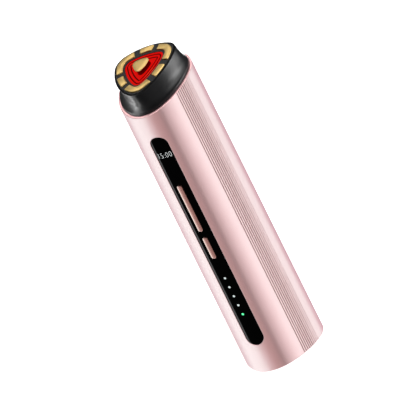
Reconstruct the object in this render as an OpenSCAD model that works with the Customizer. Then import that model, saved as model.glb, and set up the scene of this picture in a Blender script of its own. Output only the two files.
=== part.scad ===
// Hand-held facial toning device: a soft three-sided metal handle with a long control panel
// down its front corner, and a slanted head with seven electrodes round a red light window.
// Millimetres. The origin lies on the handle's axis in the plane that the foot pad rests on,
// +Z runs up the handle, and the control panel faces -Y.

/* [Handle] */
// Distance from the axis to the centre of each rounded corner
corner_offset = 7; // [6.6:0.1:7.6]
// Radius of the three rounded corners
corner_r = 15.1; // [14.8:0.1:16.5]
// Radius of the three bowed sides
side_r = 31.1; // [30:0.5:34]
// Wall of the metal shell
wall = 1.3; // [1:0.1:1.5]
// Length of the shell on its axis, from its bottom edge to the slanted mouth
shell_len = 159.2; // [157:0.5:175]

/* [Grip grooves] */
// Number of grooves in each band
groove_count = 10; // [6:1:12]
// Spacing of the grooves round the side
groove_pitch = 1.2; // [1:0.02:1.3]
// Width of a groove
groove_w = 0.62; // [0.4:0.02:0.7]
// Depth of a groove
groove_depth = 0.2; // [0.1:0.02:0.35]
// Distance from the middle of the side to the groove nearest the panel
groove_start = 2; // [1.6:0.1:4]

/* [Head] */
// Lean of the shell's mouth and of the head
head_tilt = 12.3; // [6:0.5:14]
// Direction of the lean, turned from the panel towards the left corner
head_turn = 30; // [0:5:60]
// Sideways shift of the face from the middle of the mouth, along X
face_shift_x = 0.9; // [-1:0.1:1.5]
// Shift of the face from the middle of the mouth, along Y
face_shift_y = 0.5; // [-1:0.1:1]
// Distance from the middle of the face to the centre of each of its corners
face_offset = 11.6; // [11.2:0.1:12]
// Radius of the corners of the face
face_corner_r = 7.8; // [7.6:0.1:8.4]
// Radius of the bowed sides of the face
face_side_r = 33.4; // [32:0.1:35]
// Height of the shroud's rim above the mouth
rim_h = 11.8; // [11.4:0.1:13.6]
// Height of the collar ring above the mouth
collar_rise = 0.9; // [0.6:0.1:1.2]
// Depth of the collar ring inside the mouth
collar_depth = 6; // [5:0.5:7]
// Wall of the collar ring and of the shroud
collar_t = 1.5; // [1.2:0.1:1.8]
// Height of the flare between the collar and the upright wall of the shroud
flare_h = 3.2; // [2.5:0.1:4]
// Thickness of the shroud's rim round the face plate
rim_t = 0.9; // [0.6:0.1:1.1]
// Thickness of the face plate
plate_t = 1.8; // [1.6:0.1:2.2]
// Height of the face plate above the rim
plate_proud = 0.2; // [0:0.1:0.4]

/* [Electrodes and window] */
// Distance from the middle to the centre of each corner of the band of outer electrodes
band_offset = 10.3; // [10:0.1:10.6]
// Radius of the band's corners
band_corner_r = 7.1; // [6.9:0.1:7.3]
// Radius of the band's bowed sides
band_side_r = 28.7; // [28:0.1:29.6]
// Width of the band of outer electrodes
electrode_band = 3.8; // [3:0.1:4]
// Height of the outer electrodes above the face plate
electrode_proud = 0.7; // [0.4:0.1:1]
// Depth of the pockets that the outer electrodes sit in
pocket = 0.4; // [0.2:0.1:0.6]
// Width of the bare strips between neighbouring outer electrodes
spoke_w = 3.1; // [2.4:0.1:3.8]
// Distance of a bare strip from the middle of its side
spoke_offset = 5.45; // [5:0.05:5.8]
// Turn of a bare strip from square to its side
spoke_turn = 13; // [0:1:18]
// Distance from the middle of the window to the centre of each of its corners
window_offset = 8.2; // [7.8:0.1:8.4]
// Radius of the window's corners
window_corner_r = 4.1; // [3.9:0.1:4.2]
// Radius of the window's bowed sides
window_side_r = 34.5; // [32:0.5:36]
// Depth of the window's top below the face plate
window_sink = 0.3; // [0:0.1:0.5]
// Distance of the window's first groove from its edge
line_1 = 1.5; // [1.2:0.1:1.8]
// Distance of the window's second groove from its edge
line_2 = 3.4; // [3:0.1:3.5]
// Width of the window's grooves
line_w = 0.4; // [0.3:0.05:0.5]
// Depth of the window's grooves
line_depth = 0.3; // [0.2:0.05:0.4]
// Height of the post that carries the centre electrode above the window
post_h = 2.1; // [1.6:0.1:2.6]
// Distance from the middle to the centre of each corner of the centre electrode
centre_offset = 2.9; // [2.6:0.1:3.1]
// Corner radius of the centre electrode
centre_corner_r = 2.1; // [2:0.1:2.4]
// Radius of the bowed sides of the centre electrode
centre_side_r = 12.5; // [11:0.5:16]
// Thickness of the centre electrode
centre_t = 0.7; // [0.5:0.1:1]

/* [Control panel] */
// Height of the slot's lower end above the shell's bottom edge
slot_low = 15.9; // [15:0.1:18]
// Distance from the slot's upper end to the mouth, along the axis
slot_top_gap = 17; // [15.5:0.1:19]
// Width of the slot
slot_w = 9.4; // [8.8:0.1:10]
// Width of the panel's hidden lip behind the slot's edge
panel_lip = 1.6; // [1.2:0.1:2]
// Thickness of the gasket between that lip and the shell
gasket_t = 0.3; // [0.2:0.05:0.5]
// Thickness of the lip
lip_t = 1.2; // [1:0.1:1.4]

/* [Keys and lights] */
// Width of both keys
key_w = 2.5; // [2.3:0.05:3.2]
// Length of the long key
long_key_len = 28.2; // [24:0.1:30]
// Height of the long key's middle above the slot's middle
long_key_rise = 20.4; // [19:0.1:24]
// Length of the short key
short_key_len = 13.1; // [10:0.1:14]
// Depth of the short key's middle below the slot's middle
short_key_drop = 3.6; // [3.2:0.1:8]
// Height of the keys above the panel
key_proud = 0.9; // [0.5:0.1:1.2]
// Travel of a key
key_travel = 0.35; // [0.2:0.05:0.4]
// Diameter of the light pipes
pipe_d = 1.3; // [1:0.1:1.6]
// Height of the lowest light above the slot's lower end
light_rise = 18.7; // [12:0.1:20]
// Spacing of the lights
light_pitch = 5.48; // [5:0.01:5.8]
// Depth of the display's middle below the slot's upper end
display_drop = 10.7; // [8:0.1:14]
// Width of the display
display_w = 9.6; // [8:0.1:10]

/* [Base] */
// Height of the foot pad below the shell's bottom edge
pad_proud = 0.5; // [0.3:0.1:0.8]
// Thickness of the foot pad
pad_t = 1.2; // [1:0.1:1.6]
// Distance from the shell's outer face to the edge of the foot pad
pad_edge = 3; // [2.4:0.1:4]
// Thickness of the base cap
cap_t = 3.2; // [2.8:0.1:4]
// Distance of the charging inlet behind the axis
inlet_y = 9; // [8.4:0.1:9.5]
// Length of the charging inlet
inlet_len = 7.35; // [7:0.05:8]

/* [Inside] */
// Diameter of the battery cell
cell_d = 18.4; // [17:0.1:18.6]
// Length of the battery cell
cell_len = 65; // [60:1:66]
// Height of the cell's lower end above the shell's bottom edge
cell_low = 33.5; // [33:0.5:36]
// Width of the main circuit board
board_w = 18; // [16:0.5:18.5]
// Thickness of the circuit boards
board_t = 1.2; // [1:0.1:1.6]
// Depth of the main board's front face behind the front of the handle
board_depth = 6; // [5.9:0.1:6.3]
// Thickness of the chassis' walls
chassis_t = 2; // [1.6:0.1:2.2]
// Diameter of the vibration motor
motor_d = 6; // [5:0.5:7]
// Length of the vibration motor's can
motor_len = 12; // [10:0.5:12]
// Distance of the vibration motor behind the axis
motor_y = 11; // [10.5:0.1:11.5]
// Outer diameter of the screws' threads
screw_d = 2; // [1.8:0.1:2.2]

/* [Hidden] */

// Clearances: a fixed fit, a sliding fit and the free space round loose pieces
fit = 0.05;
slide = 0.12;
free = 0.25;
// Extra length of a cutting shape past the face that it cuts
past = 1;

// Heights and depths that the pieces share
shell_z = pad_proud;
mouth_z = shell_z + shell_len;
slot_len = shell_len - slot_low - slot_top_gap;
slot_z = shell_z + slot_low + slot_len / 2;
slot_top_z = slot_z + slot_len / 2;
long_key_z = slot_z + long_key_rise;
short_key_z = slot_z - short_key_drop;
display_z = slot_top_z - display_drop;
light_z = shell_z + slot_low + light_rise;
front_y = -(corner_offset + corner_r);
lip_inset = wall + gasket_t;
panel_inset = lip_inset + lip_t;
key_lip = 0.8;
key_flange_t = 0.8;
key_flange_inset = panel_inset + fit;
board_y = front_y + board_depth;
board_back_y = board_y + board_t;
board_below_slot = 6;
board_above_slot = 2.5;
board_low = shell_z + slot_low - board_below_slot;
board_top = slot_top_z + board_above_slot;
board_room = 3;
spine_y = board_back_y + board_room;
spine_t = 1.5;
spine_back_y = spine_y + spine_t;
spine_w = 22;
ring_t = 1;
cell_y = spine_back_y + free + ring_t + 2 * fit + cell_d / 2;
cell_z = shell_z + cell_low;
cell_top = cell_z + cell_len;
tab_t = 0.3;
cap_top = shell_z + cap_t;
foot_h = 15.5;
foot_z = shell_z + foot_h;
shelf_below_top = 4;
motor_shelf_z = board_top - shelf_below_top;
lean = [cos(-90 - head_turn), sin(-90 - head_turn)];
lean_axis = [-lean.y, lean.x, 0];
mouth_rise = tan(head_tilt) * (corner_offset + corner_r);

// Heights in the head, above the mouth
plate_top = rim_h + plate_proud;
plate_low = plate_top - plate_t;
electrode_low = plate_top - pocket;
window_top = plate_top - window_sink;
window_flange_t = 0.6;
window_low = plate_low - window_flange_t;
light_gap = 0.2;
led_t = 0.6;
light_board_top = window_low - light_gap - led_t;
light_board_low = light_board_top - board_t;
frame_low = -4;
pin_d = 1.5;
pedestal_top = window_top + post_h;

// Facets of the arcs in the computed outlines
arc_n = 8;

function polar(r, a) = [r * cos(a), r * sin(a)];
function corner_dir(k) = -90 + 120 * k;
function degrees_on(r, len) = len / r * 180 / PI;

// Half of the angle that a bowed side spans, seen from the side's own centre
function side_half(d, rc, rs) = asin(d * sin(60) / (rs - rc));

// Distance of a bowed side's centre behind the middle of the section
function side_back(d, rc, rs) =
    sqrt(pow(rs - rc, 2) - pow(d * sin(60), 2)) - d * cos(60);

function corner_arc(d, rc, rs, k) =
    let (half = 60 - side_half(d, rc, rs), mid = corner_dir(k))
    [for (i = [0:arc_n]) polar(d, mid) + polar(rc, mid + half * (2 * i / arc_n - 1))];

// A bowed side through the given [angle from its middle, depth below its surface] steps
function side_arc(d, rc, rs, k, steps) =
    let (mid = corner_dir(k) + 60, back = side_back(d, rc, rs))
    [for (s = steps) polar(-back, mid) + polar(rs - s[1], mid + s[0])];

function plain_steps(half) = [for (i = [1:arc_n - 1]) [half * (2 * i / arc_n - 1), 0]];

// A rounded triangle with bowed sides, one corner towards -Y
function section(d, rc, rs) = [
    for (k = [0:2]) each concat(
        corner_arc(d, rc, rs, k),
        side_arc(d, rc, rs, k, plain_steps(side_half(d, rc, rs))))
];

function handle_section(inset) = section(corner_offset, corner_r - inset, side_r - inset);
function face_section(inset) = section(face_offset, face_corner_r - inset, face_side_r - inset);
function band_section(inset) = section(band_offset, band_corner_r - inset, band_side_r - inset);
function window_section(inset) =
    section(window_offset, window_corner_r - inset, window_side_r - inset);
function centre_section(grow) =
    section(centre_offset, centre_corner_r + grow, centre_side_r + grow);

// The grip side: plain up to the band, then a V groove at each pitch, then plain again
groove_first = -degrees_on(side_r, groove_start);
groove_step = degrees_on(side_r, groove_pitch);
groove_half = degrees_on(side_r, groove_w) / 2;
function grip_steps(half) =
    let (last = groove_first + groove_step * (groove_count - 1))
    concat(
        [for (i = [1:2]) [-half + (groove_first - groove_half + half) * i / 3, 0]],
        [for (j = [0:groove_count - 1]) let (a = groove_first + groove_step * j)
            each [[a - groove_half, 0], [a, groove_depth], [a + groove_half, 0]]],
        [[(last + groove_half + half) / 2, 0]]);
function mirrored(steps) = [for (i = [len(steps) - 1:-1:0]) [-steps[i][0], steps[i][1]]];
function grip_section() =
    let (half = side_half(corner_offset, corner_r, side_r), grip = grip_steps(half),
         steps = [grip, plain_steps(half), mirrored(grip)])
    [for (k = [0:2]) each concat(
        corner_arc(corner_offset, corner_r, side_r, k),
        side_arc(corner_offset, corner_r, side_r, k, steps[k]))];

// A slot-shaped outline with round ends, long way up
function stadium(length, width) = [
    for (s = [1, -1], i = [0:2 * arc_n])
        [0, s * (length - width) / 2]
            + polar(width / 2, (s > 0 ? 0 : 180) + 180 * i / (2 * arc_n))
];

// A prism of an outline between two heights
module prism(outline, low, high) {
    translate([0, 0, low]) linear_extrude(high - low) polygon(outline);
}

// A prism of an outline drawn in X and Z, between two depths, about the height z
module front_prism(outline, z, front, back) {
    translate([0, back, z]) rotate([90, 0, 0]) linear_extrude(back - front) polygon(outline);
}

// A round pin along Y between two depths
module front_pin(d, x, z, front, back) {
    translate([x, back, z]) rotate([90, 0, 0]) cylinder(d = d, h = back - front, $fn = 32);
}

// A block from its lowest corner to its highest corner
module block(low, high) {
    translate(low) cube(high - low);
}

// A layer that follows the handle's front corner between two insets, within an outline
module front_layer(outline, z, outer, inner) {
    intersection() {
        front_prism(outline, z, front_y - past, -corner_offset);
        difference() {
            prism(handle_section(outer), shell_z + past, mouth_z);
            prism(handle_section(inner), shell_z, mouth_z + past);
        }
    }
}

// Where a point of the upright handle's section meets the plane at height h over the mouth
function mouth_point(p, h) =
    let (along = p * lean)
    p + lean * (along * (1 / cos(head_tilt) - 1) - h * tan(head_tilt));

// The frame of the slanted mouth, and the same frame shifted to the middle of the face
module in_head() {
    translate([0, 0, mouth_z]) rotate(a = head_tilt, v = lean_axis) children();
}
module on_face() {
    in_head() translate([face_shift_x, face_shift_y, 0]) children();
}

// All the space above or below a plane parallel to the mouth
module above_mouth(h) {
    size = 4 * corner_r + 4 * corner_offset;
    in_head() translate([-size / 2, -size / 2, h]) cube(size);
}
module below_mouth(h) {
    size = 4 * corner_r + 4 * corner_offset;
    in_head() translate([-size / 2, -size / 2, h - size]) cube(size);
}

// ---- Handle ----

module handle_shell() {
    color("rosybrown") difference() {
        prism(grip_section(), shell_z, mouth_z + mouth_rise + past);
        prism(handle_section(wall), shell_z - past, mouth_z + mouth_rise + 2 * past);
        front_prism(stadium(slot_len, slot_w), slot_z, front_y - past, -corner_offset);
        above_mouth(0);
    }
}

// ---- Base ----

// The outside and the sheet of a standard charging inlet, and its tongue
inlet_w = 8.94;
inlet_h = 3.16;
inlet_t = 0.3;
tongue_w = 6.69;
tongue_t = 0.7;
tongue_inset = 0.8;
tongue_back = 1.2;
inlet_inset = 0.2;

base_screw_x = 11;
base_screw_y = 2;
base_head_d = 2 * screw_d;
base_head_t = 1.3;
pad_top = pad_t;
inlet_low = shell_z + inlet_inset;
inlet_board_y = inlet_y + inlet_h / 2;

// Outline of a charging inlet's shell, with its full half-round ends, long way along X
function inlet_outline(grow) =
    [for (p = stadium(inlet_w + 2 * grow, inlet_h + 2 * grow)) [p.y, -p.x]];

module at_inlet() {
    translate([0, inlet_y, 0]) children();
}
module at_base_screws() {
    for (s = [-1, 1]) translate([s * base_screw_x, base_screw_y, 0]) children();
}

module base_cap() {
    color("dimgray") difference() {
        prism(handle_section(wall + fit), shell_z, cap_top);
        prism(handle_section(pad_edge - fit), shell_z - past, pad_top);
        at_inlet() prism(inlet_outline(fit), shell_z - past, cap_top + past);
        at_base_screws() {
            translate([0, 0, shell_z - past])
                cylinder(d = screw_d + 2 * slide, h = cap_t + 2 * past, $fn = 32);
            translate([0, 0, shell_z - past])
                cylinder(d = base_head_d + 2 * slide, h = pad_t + base_head_t - shell_z + past,
                    $fn = 32);
        }
    }
}

module foot_pad() {
    color("darkgray") difference() {
        prism(handle_section(pad_edge), 0, pad_top);
        at_inlet() prism(inlet_outline(free), -past, pad_top + past);
    }
}

base_thread_len = 8;
module base_screws() {
    color("silver") at_base_screws() union() {
        translate([0, 0, pad_top]) cylinder(d = base_head_d, h = base_head_t, $fn = 32);
        translate([0, 0, pad_top])
            cylinder(d = screw_d, h = base_head_t + base_thread_len, $fn = 32);
    }
}

module usb_receptacle() {
    color("silver") at_inlet() difference() {
        prism(inlet_outline(0), inlet_low, inlet_low + inlet_len);
        prism(inlet_outline(-inlet_t), inlet_low - past, inlet_low + inlet_len - inlet_t);
    }
}

module usb_tongue() {
    low = inlet_low + tongue_inset;
    top = inlet_low + inlet_len - inlet_t;
    color("black") at_inlet() union() {
        block([-tongue_w / 2, -tongue_t / 2, low], [tongue_w / 2, tongue_t / 2, top]);
        prism(inlet_outline(-inlet_t - fit), top - tongue_back, top);
    }
}

charge_board_w = 16;
charge_board_above_foot = 10;
module charge_board() {
    color("darkgreen")
        block([-charge_board_w / 2, inlet_board_y, cap_top],
            [charge_board_w / 2, inlet_board_y + board_t, foot_z + charge_board_above_foot]);
}

ribbon_t = 0.3;
ribbon_w = 6;
ribbon_above_board_end = 1.5;
module charge_ribbon() {
    z = board_low + ribbon_above_board_end;
    color("orange")
        block([-ribbon_w / 2, board_back_y, z], [ribbon_w / 2, inlet_board_y, z + ribbon_t]);
}

// ---- Chassis, battery and motor ----

boss_d = 6;
board_screw_x = 6.8;
board_screw_margin_low = 7;
board_screw_margin_high = 6;
board_screw_low = board_low + board_screw_margin_low;
board_screw_high = board_top - board_screw_margin_high;
post_offset = 10.5;
post_d = 5;
head_thread_len = 5;
cell_floor_z = cell_z - tab_t - fit;
cell_roof_z = cell_top + tab_t + fit;
tab_w = 5;
rf_stand = 2;
rf_margin = 1;
rf_board_y = spine_back_y + rf_stand;
rf_back_y = rf_board_y + board_t;
rf_low = cell_roof_z + chassis_t + rf_margin;
rf_top = motor_shelf_z - rf_margin;
rf_w = 16;
rf_rib_t = 2;

// A cross wall that fills the handle behind the board, with its top face at a given height
module cross_wall(top) {
    difference() {
        prism(handle_section(wall + free), top - chassis_t, top);
        block([-2 * corner_r, front_y - past, top - chassis_t - past],
            [2 * corner_r, spine_y, top + past]);
    }
}

module at_posts() {
    for (k = [0:2]) translate(concat(polar(post_offset, corner_dir(k) + 60), 0)) children();
}

// The same posts, in the head's frame at the height of the head frame's underside
module at_head_screws() {
    in_head() for (k = [0:2])
        translate(concat(mouth_point(polar(post_offset, corner_dir(k) + 60), frame_low), frame_low))
            children();
}

module at_board_screws() {
    for (x = [-board_screw_x, board_screw_x], z = [board_screw_low, board_screw_high])
        translate([x, 0, z]) children();
}

module chassis() {
    shelf_top = motor_shelf_z + chassis_t;
    color("lightgray") difference() {
        union() {
            block([-spine_w / 2, spine_y, foot_z - chassis_t],
                [spine_w / 2, spine_back_y, shelf_top]);
            for (top = [foot_z, cell_floor_z, cell_z + cell_len / 2, cell_roof_z + chassis_t,
                    shelf_top])
                cross_wall(top);
            at_base_screws() translate([0, 0, cap_top])
                cylinder(d = boss_d, h = foot_z - chassis_t / 2 - cap_top, $fn = 32);
            at_board_screws()
                front_pin(2 * screw_d, 0, 0, board_back_y, spine_y + spine_t / 2);
            for (z = [rf_low + rf_rib_t, rf_top - 2 * rf_rib_t])
                block([-rf_w / 2, spine_y + spine_t / 2, z], [rf_w / 2, rf_board_y, z + rf_rib_t]);
            difference() {
                at_posts() translate([0, 0, motor_shelf_z + chassis_t / 2])
                    cylinder(d = post_d, h = mouth_z + mouth_rise - motor_shelf_z, $fn = 32);
                above_mouth(frame_low);
            }
        }
        at_base_screws() translate([0, 0, cap_top - past])
            cylinder(d = screw_d, h = base_thread_len + 2 * past, $fn = 32);
        at_board_screws() front_pin(screw_d, 0, 0, board_back_y - past, spine_back_y + past);
        at_head_screws() translate([0, 0, -head_thread_len - past])
            cylinder(d = screw_d, h = head_thread_len + 2 * past, $fn = 32);
        translate([0, cell_y, cell_z])
            cylinder(d = cell_d + 2 * ring_t + 4 * fit, h = cell_len, $fn = 64);
        block([-charge_board_w / 2 - slide, inlet_board_y - slide, foot_z - chassis_t - past],
            [charge_board_w / 2 + slide, inlet_board_y + board_t + slide, foot_z + past]);
        for (z = [cell_z - tab_t, cell_top])
            block([-tab_w / 2 - slide, spine_y - past, z - fit],
                [tab_w / 2 + slide, spine_back_y + slide, z + tab_t + fit]);
    }
}

module battery_cell() {
    nub_h = 1.2;
    color("slateblue") translate([0, cell_y, cell_z]) union() {
        cylinder(d = cell_d, h = cell_len - nub_h, $fn = 64);
        cylinder(d = cell_d / 3, h = cell_len, $fn = 48);
    }
}

module battery_tabs() {
    color("silver") for (z = [cell_z - tab_t, cell_top])
        block([-tab_w / 2, board_back_y, z], [tab_w / 2, cell_y + tab_w / 2, z + tab_t]);
}

module cell_ring() {
    color("black") translate([0, cell_y, cell_z + cell_len / 2 - chassis_t]) difference() {
        cylinder(d = cell_d + 2 * ring_t + 2 * fit, h = chassis_t, $fn = 64);
        translate([0, 0, -past])
            cylinder(d = cell_d + 2 * fit, h = chassis_t + 2 * past, $fn = 64);
    }
}

board_head_d = 3.6;
board_head_t = 1.2;
module board_screws() {
    color("silver") at_board_screws() union() {
        front_pin(board_head_d, 0, 0, board_y - board_head_t, board_y);
        front_pin(screw_d - 2 * fit, 0, 0, board_y - board_head_t, spine_y);
    }
}

module main_board() {
    color("darkgreen") difference() {
        block([-board_w / 2, board_y, board_low], [board_w / 2, board_back_y, board_top]);
        at_board_screws()
            front_pin(screw_d + 2 * slide, 0, 0, board_y - past, board_back_y + past);
    }
}

// A chip on the back of the main board: middle in X and Z, size in X and Z, height
module back_chip(x, z, size_x, size_z, height) {
    block([x - size_x / 2, board_back_y, z - size_z / 2],
        [x + size_x / 2, board_back_y + height, z + size_z / 2]);
}

// A square processor, an inductor and three square drivers, in rows below the short key
processor_w = 7;
processor_h = 1;
inductor_w = 6;
inductor_h = 2.4;
driver_w = 4;
driver_h = 1.5;
chip_x = 5;
chip_row = 12;
module main_chips() {
    color("black") {
        back_chip(0, short_key_z, processor_w, processor_w, processor_h);
        back_chip(chip_x, short_key_z - chip_row, inductor_w, inductor_w, inductor_h);
        back_chip(-chip_x, short_key_z - chip_row, driver_w, driver_w, driver_h);
        for (x = [-chip_x, chip_x])
            back_chip(x, short_key_z - 2 * chip_row, driver_w, driver_w, driver_h);
    }
}

shield_w = 14;
shield_h = 2;
shield_above_key = 18;
module shield_can() {
    color("silver")
        back_chip(0, long_key_z + shield_above_key, shield_w, shield_w, shield_h);
}

module rf_board() {
    color("darkgreen")
        block([-rf_w / 2, rf_board_y, rf_low], [rf_w / 2, rf_back_y, rf_top]);
}

core_w = 13;
core_depth = 9;
core_h = 12;
core_t = 2;
core_low = rf_low + rf_margin;
coil_d = 8;
module rf_transformer() {
    z = core_low;
    color("dimgray") difference() {
        block([-core_w / 2, rf_back_y, z], [core_w / 2, rf_back_y + core_depth, z + core_h]);
        block([core_t - core_w / 2, rf_back_y - past, z + core_t],
            [core_w / 2 - core_t, rf_back_y + core_depth + past, z + core_h - core_t]);
    }
    color("peru") translate([0, rf_back_y + core_depth / 2, z + core_t + fit])
        cylinder(d = coil_d, h = core_h - 2 * core_t - 2 * fit, $fn = 48);
}

cap_d = 6.3;
cap_h = 7;
module rf_capacitors() {
    color("midnightblue") for (x = [-cap_d / 2 - fit, cap_d / 2 + fit])
        front_pin(cap_d, x, rf_top - rf_margin - cap_d / 2, rf_back_y, rf_back_y + cap_h);
}

shaft_d = 1;
shaft_seat = 3;
weight_r = 2.6;
weight_len = 4;
motor_low = motor_shelf_z - motor_len;
weight_gap = 0.6;
holder_t = 1.2;
holder_inset = 2;

module at_motor(z) {
    translate([0, motor_y, z]) children();
}

module motor_holder() {
    color("gainsboro") difference() {
        at_motor(motor_low + holder_inset)
            cylinder(d = motor_d + 2 * holder_t, h = motor_len - holder_inset, $fn = 48);
        at_motor(motor_low) cylinder(d = motor_d + 2 * fit, h = motor_len + past, $fn = 48);
    }
}

module motor_can() {
    color("silver") difference() {
        at_motor(motor_low) cylinder(d = motor_d, h = motor_len, $fn = 48);
        at_motor(motor_low - past) cylinder(d = shaft_d + 2 * fit, h = shaft_seat + past, $fn = 32);
    }
}

module motor_shaft() {
    low = motor_low - weight_gap - weight_len;
    color("gray") at_motor(low)
        cylinder(d = shaft_d, h = weight_len + weight_gap + shaft_seat - slide, $fn = 32);
}

module motor_weight() {
    low = motor_low - weight_gap - weight_len;
    color("goldenrod") difference() {
        at_motor(low) cylinder(r = weight_r, h = weight_len, $fn = 48);
        at_motor(low - past) cylinder(d = shaft_d + 2 * fit, h = weight_len + 2 * past, $fn = 32);
        at_motor(low - past)
            block([-2 * weight_r, -2 * weight_r, 0],
                [2 * weight_r, -shaft_d, weight_len + 2 * past]);
    }
}

// ---- Control panel ----

lip_len = slot_len + 2 * panel_lip;
lip_w = slot_w + 2 * panel_lip;
led_w = 1.6;
led_len = 0.8;
led_h = 0.8;
key_back_y = front_y + key_flange_inset + key_flange_t;
tact_size = 3.6;
tact_h = 1.6;
tact_y = board_y - tact_h;
plunger_d = 1.7;
plunger_spare = 0.1;
plunger_front_y = tact_y - key_travel - plunger_spare;
plunger_len = 1.1;
light_heights = [for (i = [0:4]) light_z + i * light_pitch];
// The deepest point of the panel's curved back behind the display's edges
display_y = -(corner_offset + sqrt(pow(corner_r - panel_inset, 2) - pow(display_w / 2, 2)))
    + slide;
display_h = 5.2;

module control_panel() {
    color("black") difference() {
        union() {
            front_layer(stadium(slot_len - 2 * fit, slot_w - 2 * fit), slot_z, fit, panel_inset);
            front_layer(stadium(lip_len, lip_w), slot_z, lip_inset, panel_inset);
        }
        key_hole(long_key_len, long_key_z);
        key_hole(short_key_len, short_key_z);
        for (z = light_heights) front_pin(pipe_d + 2 * fit, 0, z, front_y - past, board_y);
    }
}

module key_hole(length, z) {
    front_prism(stadium(length + 2 * slide, key_w + 2 * slide), z, front_y - past, board_y);
}

module panel_gasket() {
    color("dimgray") difference() {
        front_layer(stadium(lip_len, lip_w), slot_z, wall, lip_inset);
        front_prism(stadium(slot_len, slot_w), slot_z, front_y - past, board_y);
    }
}

// A key: the cap that stands out of the panel, a lip behind the panel and a stem
module key(length, z) {
    stem_d = 2;
    flange = [length + 2 * key_lip, key_w + 2 * key_lip];
    color("rosybrown") union() {
        front_prism(stadium(length, key_w), z, front_y - key_proud,
            front_y + key_flange_inset + key_flange_t / 2);
        front_layer(stadium(flange[0], flange[1]), z, key_flange_inset,
            key_flange_inset + key_flange_t);
        front_pin(stem_d, 0, z, key_back_y - key_flange_t / 2, plunger_front_y);
    }
}

module plunger(z) {
    color("ivory")
        front_pin(plunger_d, 0, z, plunger_front_y, plunger_front_y + plunger_len);
}

module long_key() {
    key(long_key_len, long_key_z);
}
module short_key() {
    key(short_key_len, short_key_z);
}
module long_key_plunger() {
    plunger(long_key_z);
}
module short_key_plunger() {
    plunger(short_key_z);
}

module tact_switches() {
    half = tact_size / 2;
    color("gray") for (z = [long_key_z, short_key_z]) difference() {
        block([-half, tact_y, z - half], [half, board_y, z + half]);
        front_pin(plunger_d + 2 * slide, 0, z, tact_y - past,
            plunger_front_y + plunger_len + key_travel + slide);
    }
}

module lens(z) {
    front_pin(pipe_d, 0, z, front_y + fit, board_y - led_h - fit);
}
module indicator_lenses() {
    color("whitesmoke") for (i = [1:4]) lens(light_heights[i]);
}
module power_lens() {
    color("limegreen") lens(light_heights[0]);
}

module indicator_leds() {
    color("khaki") for (z = light_heights)
        block([-led_w / 2, board_y - led_h, z - led_len / 2],
            [led_w / 2, board_y, z + led_len / 2]);
}

module display_module() {
    color("white") block([-display_w / 2, display_y, display_z - display_h / 2],
        [display_w / 2, board_y, display_z + display_h / 2]);
}

// ---- Head ----

corner_pin_r = band_offset + band_corner_r - electrode_band / 2;
side_pin_r = band_side_r - side_back(band_offset, band_corner_r, band_side_r) - electrode_band / 2;
seat_w = 1.1;
leg_r = 8;
leg_d = 4.4;

module collar_ring() {
    reach = collar_depth + mouth_rise + past;
    outer = wall + fit;
    color("black") difference() {
        prism(handle_section(outer), mouth_z - reach, mouth_z + reach);
        prism(handle_section(outer + collar_t), mouth_z - reach - past, mouth_z + reach + past);
        above_mouth(collar_rise);
        below_mouth(-collar_depth);
    }
}

// One ring of the shroud: a blend of the mouth's section and the face's section
function shroud_ring(h, blend, mouth_inset, face_inset) =
    let (low = handle_section(wall + fit + mouth_inset), high = face_section(face_inset))
    [for (i = [0:len(low) - 1])
        concat(mouth_point(low[i], h) * (1 - blend)
            + (high[i] + [face_shift_x, face_shift_y]) * blend, h)];

// The shroud's outside: a short upright edge, a hollow flare, then an almost upright wall
edge_h = 0.5;
flare_low_blend = 0.03;
flare_top_blend = 0.87;
flare_steps = 5;
function flare(inset) = [
    for (i = [0:flare_steps]) let (x = i / flare_steps)
        shroud_ring(collar_rise + edge_h + x * flare_h, flare_low_blend
            + (flare_top_blend - flare_low_blend) * (1 - pow(1 - x, 2)), inset, inset)
];

// Quads between neighbouring rings of a closed run of rings, each cut in two triangles
function ring_faces(rings, n) = [
    for (r = [0:rings - 1], i = [0:n - 1])
        let (a = r * n + i, b = r * n + (i + 1) % n, up = (r + 1) % rings,
             c = up * n + (i + 1) % n, d = up * n + i)
        each [[a, c, b], [a, d, c]]
];

module head_shroud() {
    chamfer = 0.4;
    seat_t = 1;
    seat_blend = 0.98;
    rings = concat(
        [shroud_ring(collar_rise, 0, 0, 0)],
        flare(0),
        [shroud_ring(rim_h - chamfer, 1, 0, 0), shroud_ring(rim_h, 1, chamfer, chamfer),
            shroud_ring(rim_h, 1, rim_t, rim_t), shroud_ring(plate_low, 1, rim_t, rim_t),
            shroud_ring(plate_low, 1, rim_t + seat_w, rim_t + seat_w),
            shroud_ring(plate_low - seat_t, seat_blend, rim_t + seat_w, rim_t + seat_w)],
        [for (r = [flare_steps:-1:0]) flare(collar_t)[r]],
        [shroud_ring(collar_rise, 0, collar_t, collar_t)]);
    color("black") in_head()
        polyhedron([for (r = rings) each r], ring_faces(len(rings), len(rings[0])));
}

module head_frame() {
    low = frame_low;
    high = low + chassis_t;
    inset = wall + fit + collar_t + 4 * free;
    color("gray") difference() {
        union() {
            in_head() translate(concat(mouth_point([0, 0], (low + high) / 2), 0))
                prism(handle_section(inset), low, high);
            on_face() for (k = [0:2])
                translate(concat(polar(leg_r, corner_dir(k)), high - chassis_t / 2))
                    cylinder(d = leg_d, h = light_board_low - high + chassis_t / 2, $fn = 32);
        }
        at_head_screws() translate([0, 0, -past])
            cylinder(d = screw_d + 2 * slide, h = chassis_t + 2 * past, $fn = 32);
        block([-ribbon_w / 2 - free, front_y, motor_shelf_z],
            [ribbon_w / 2 + free, board_back_y + ribbon_t + free, mouth_z + past]);
    }
}

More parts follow.
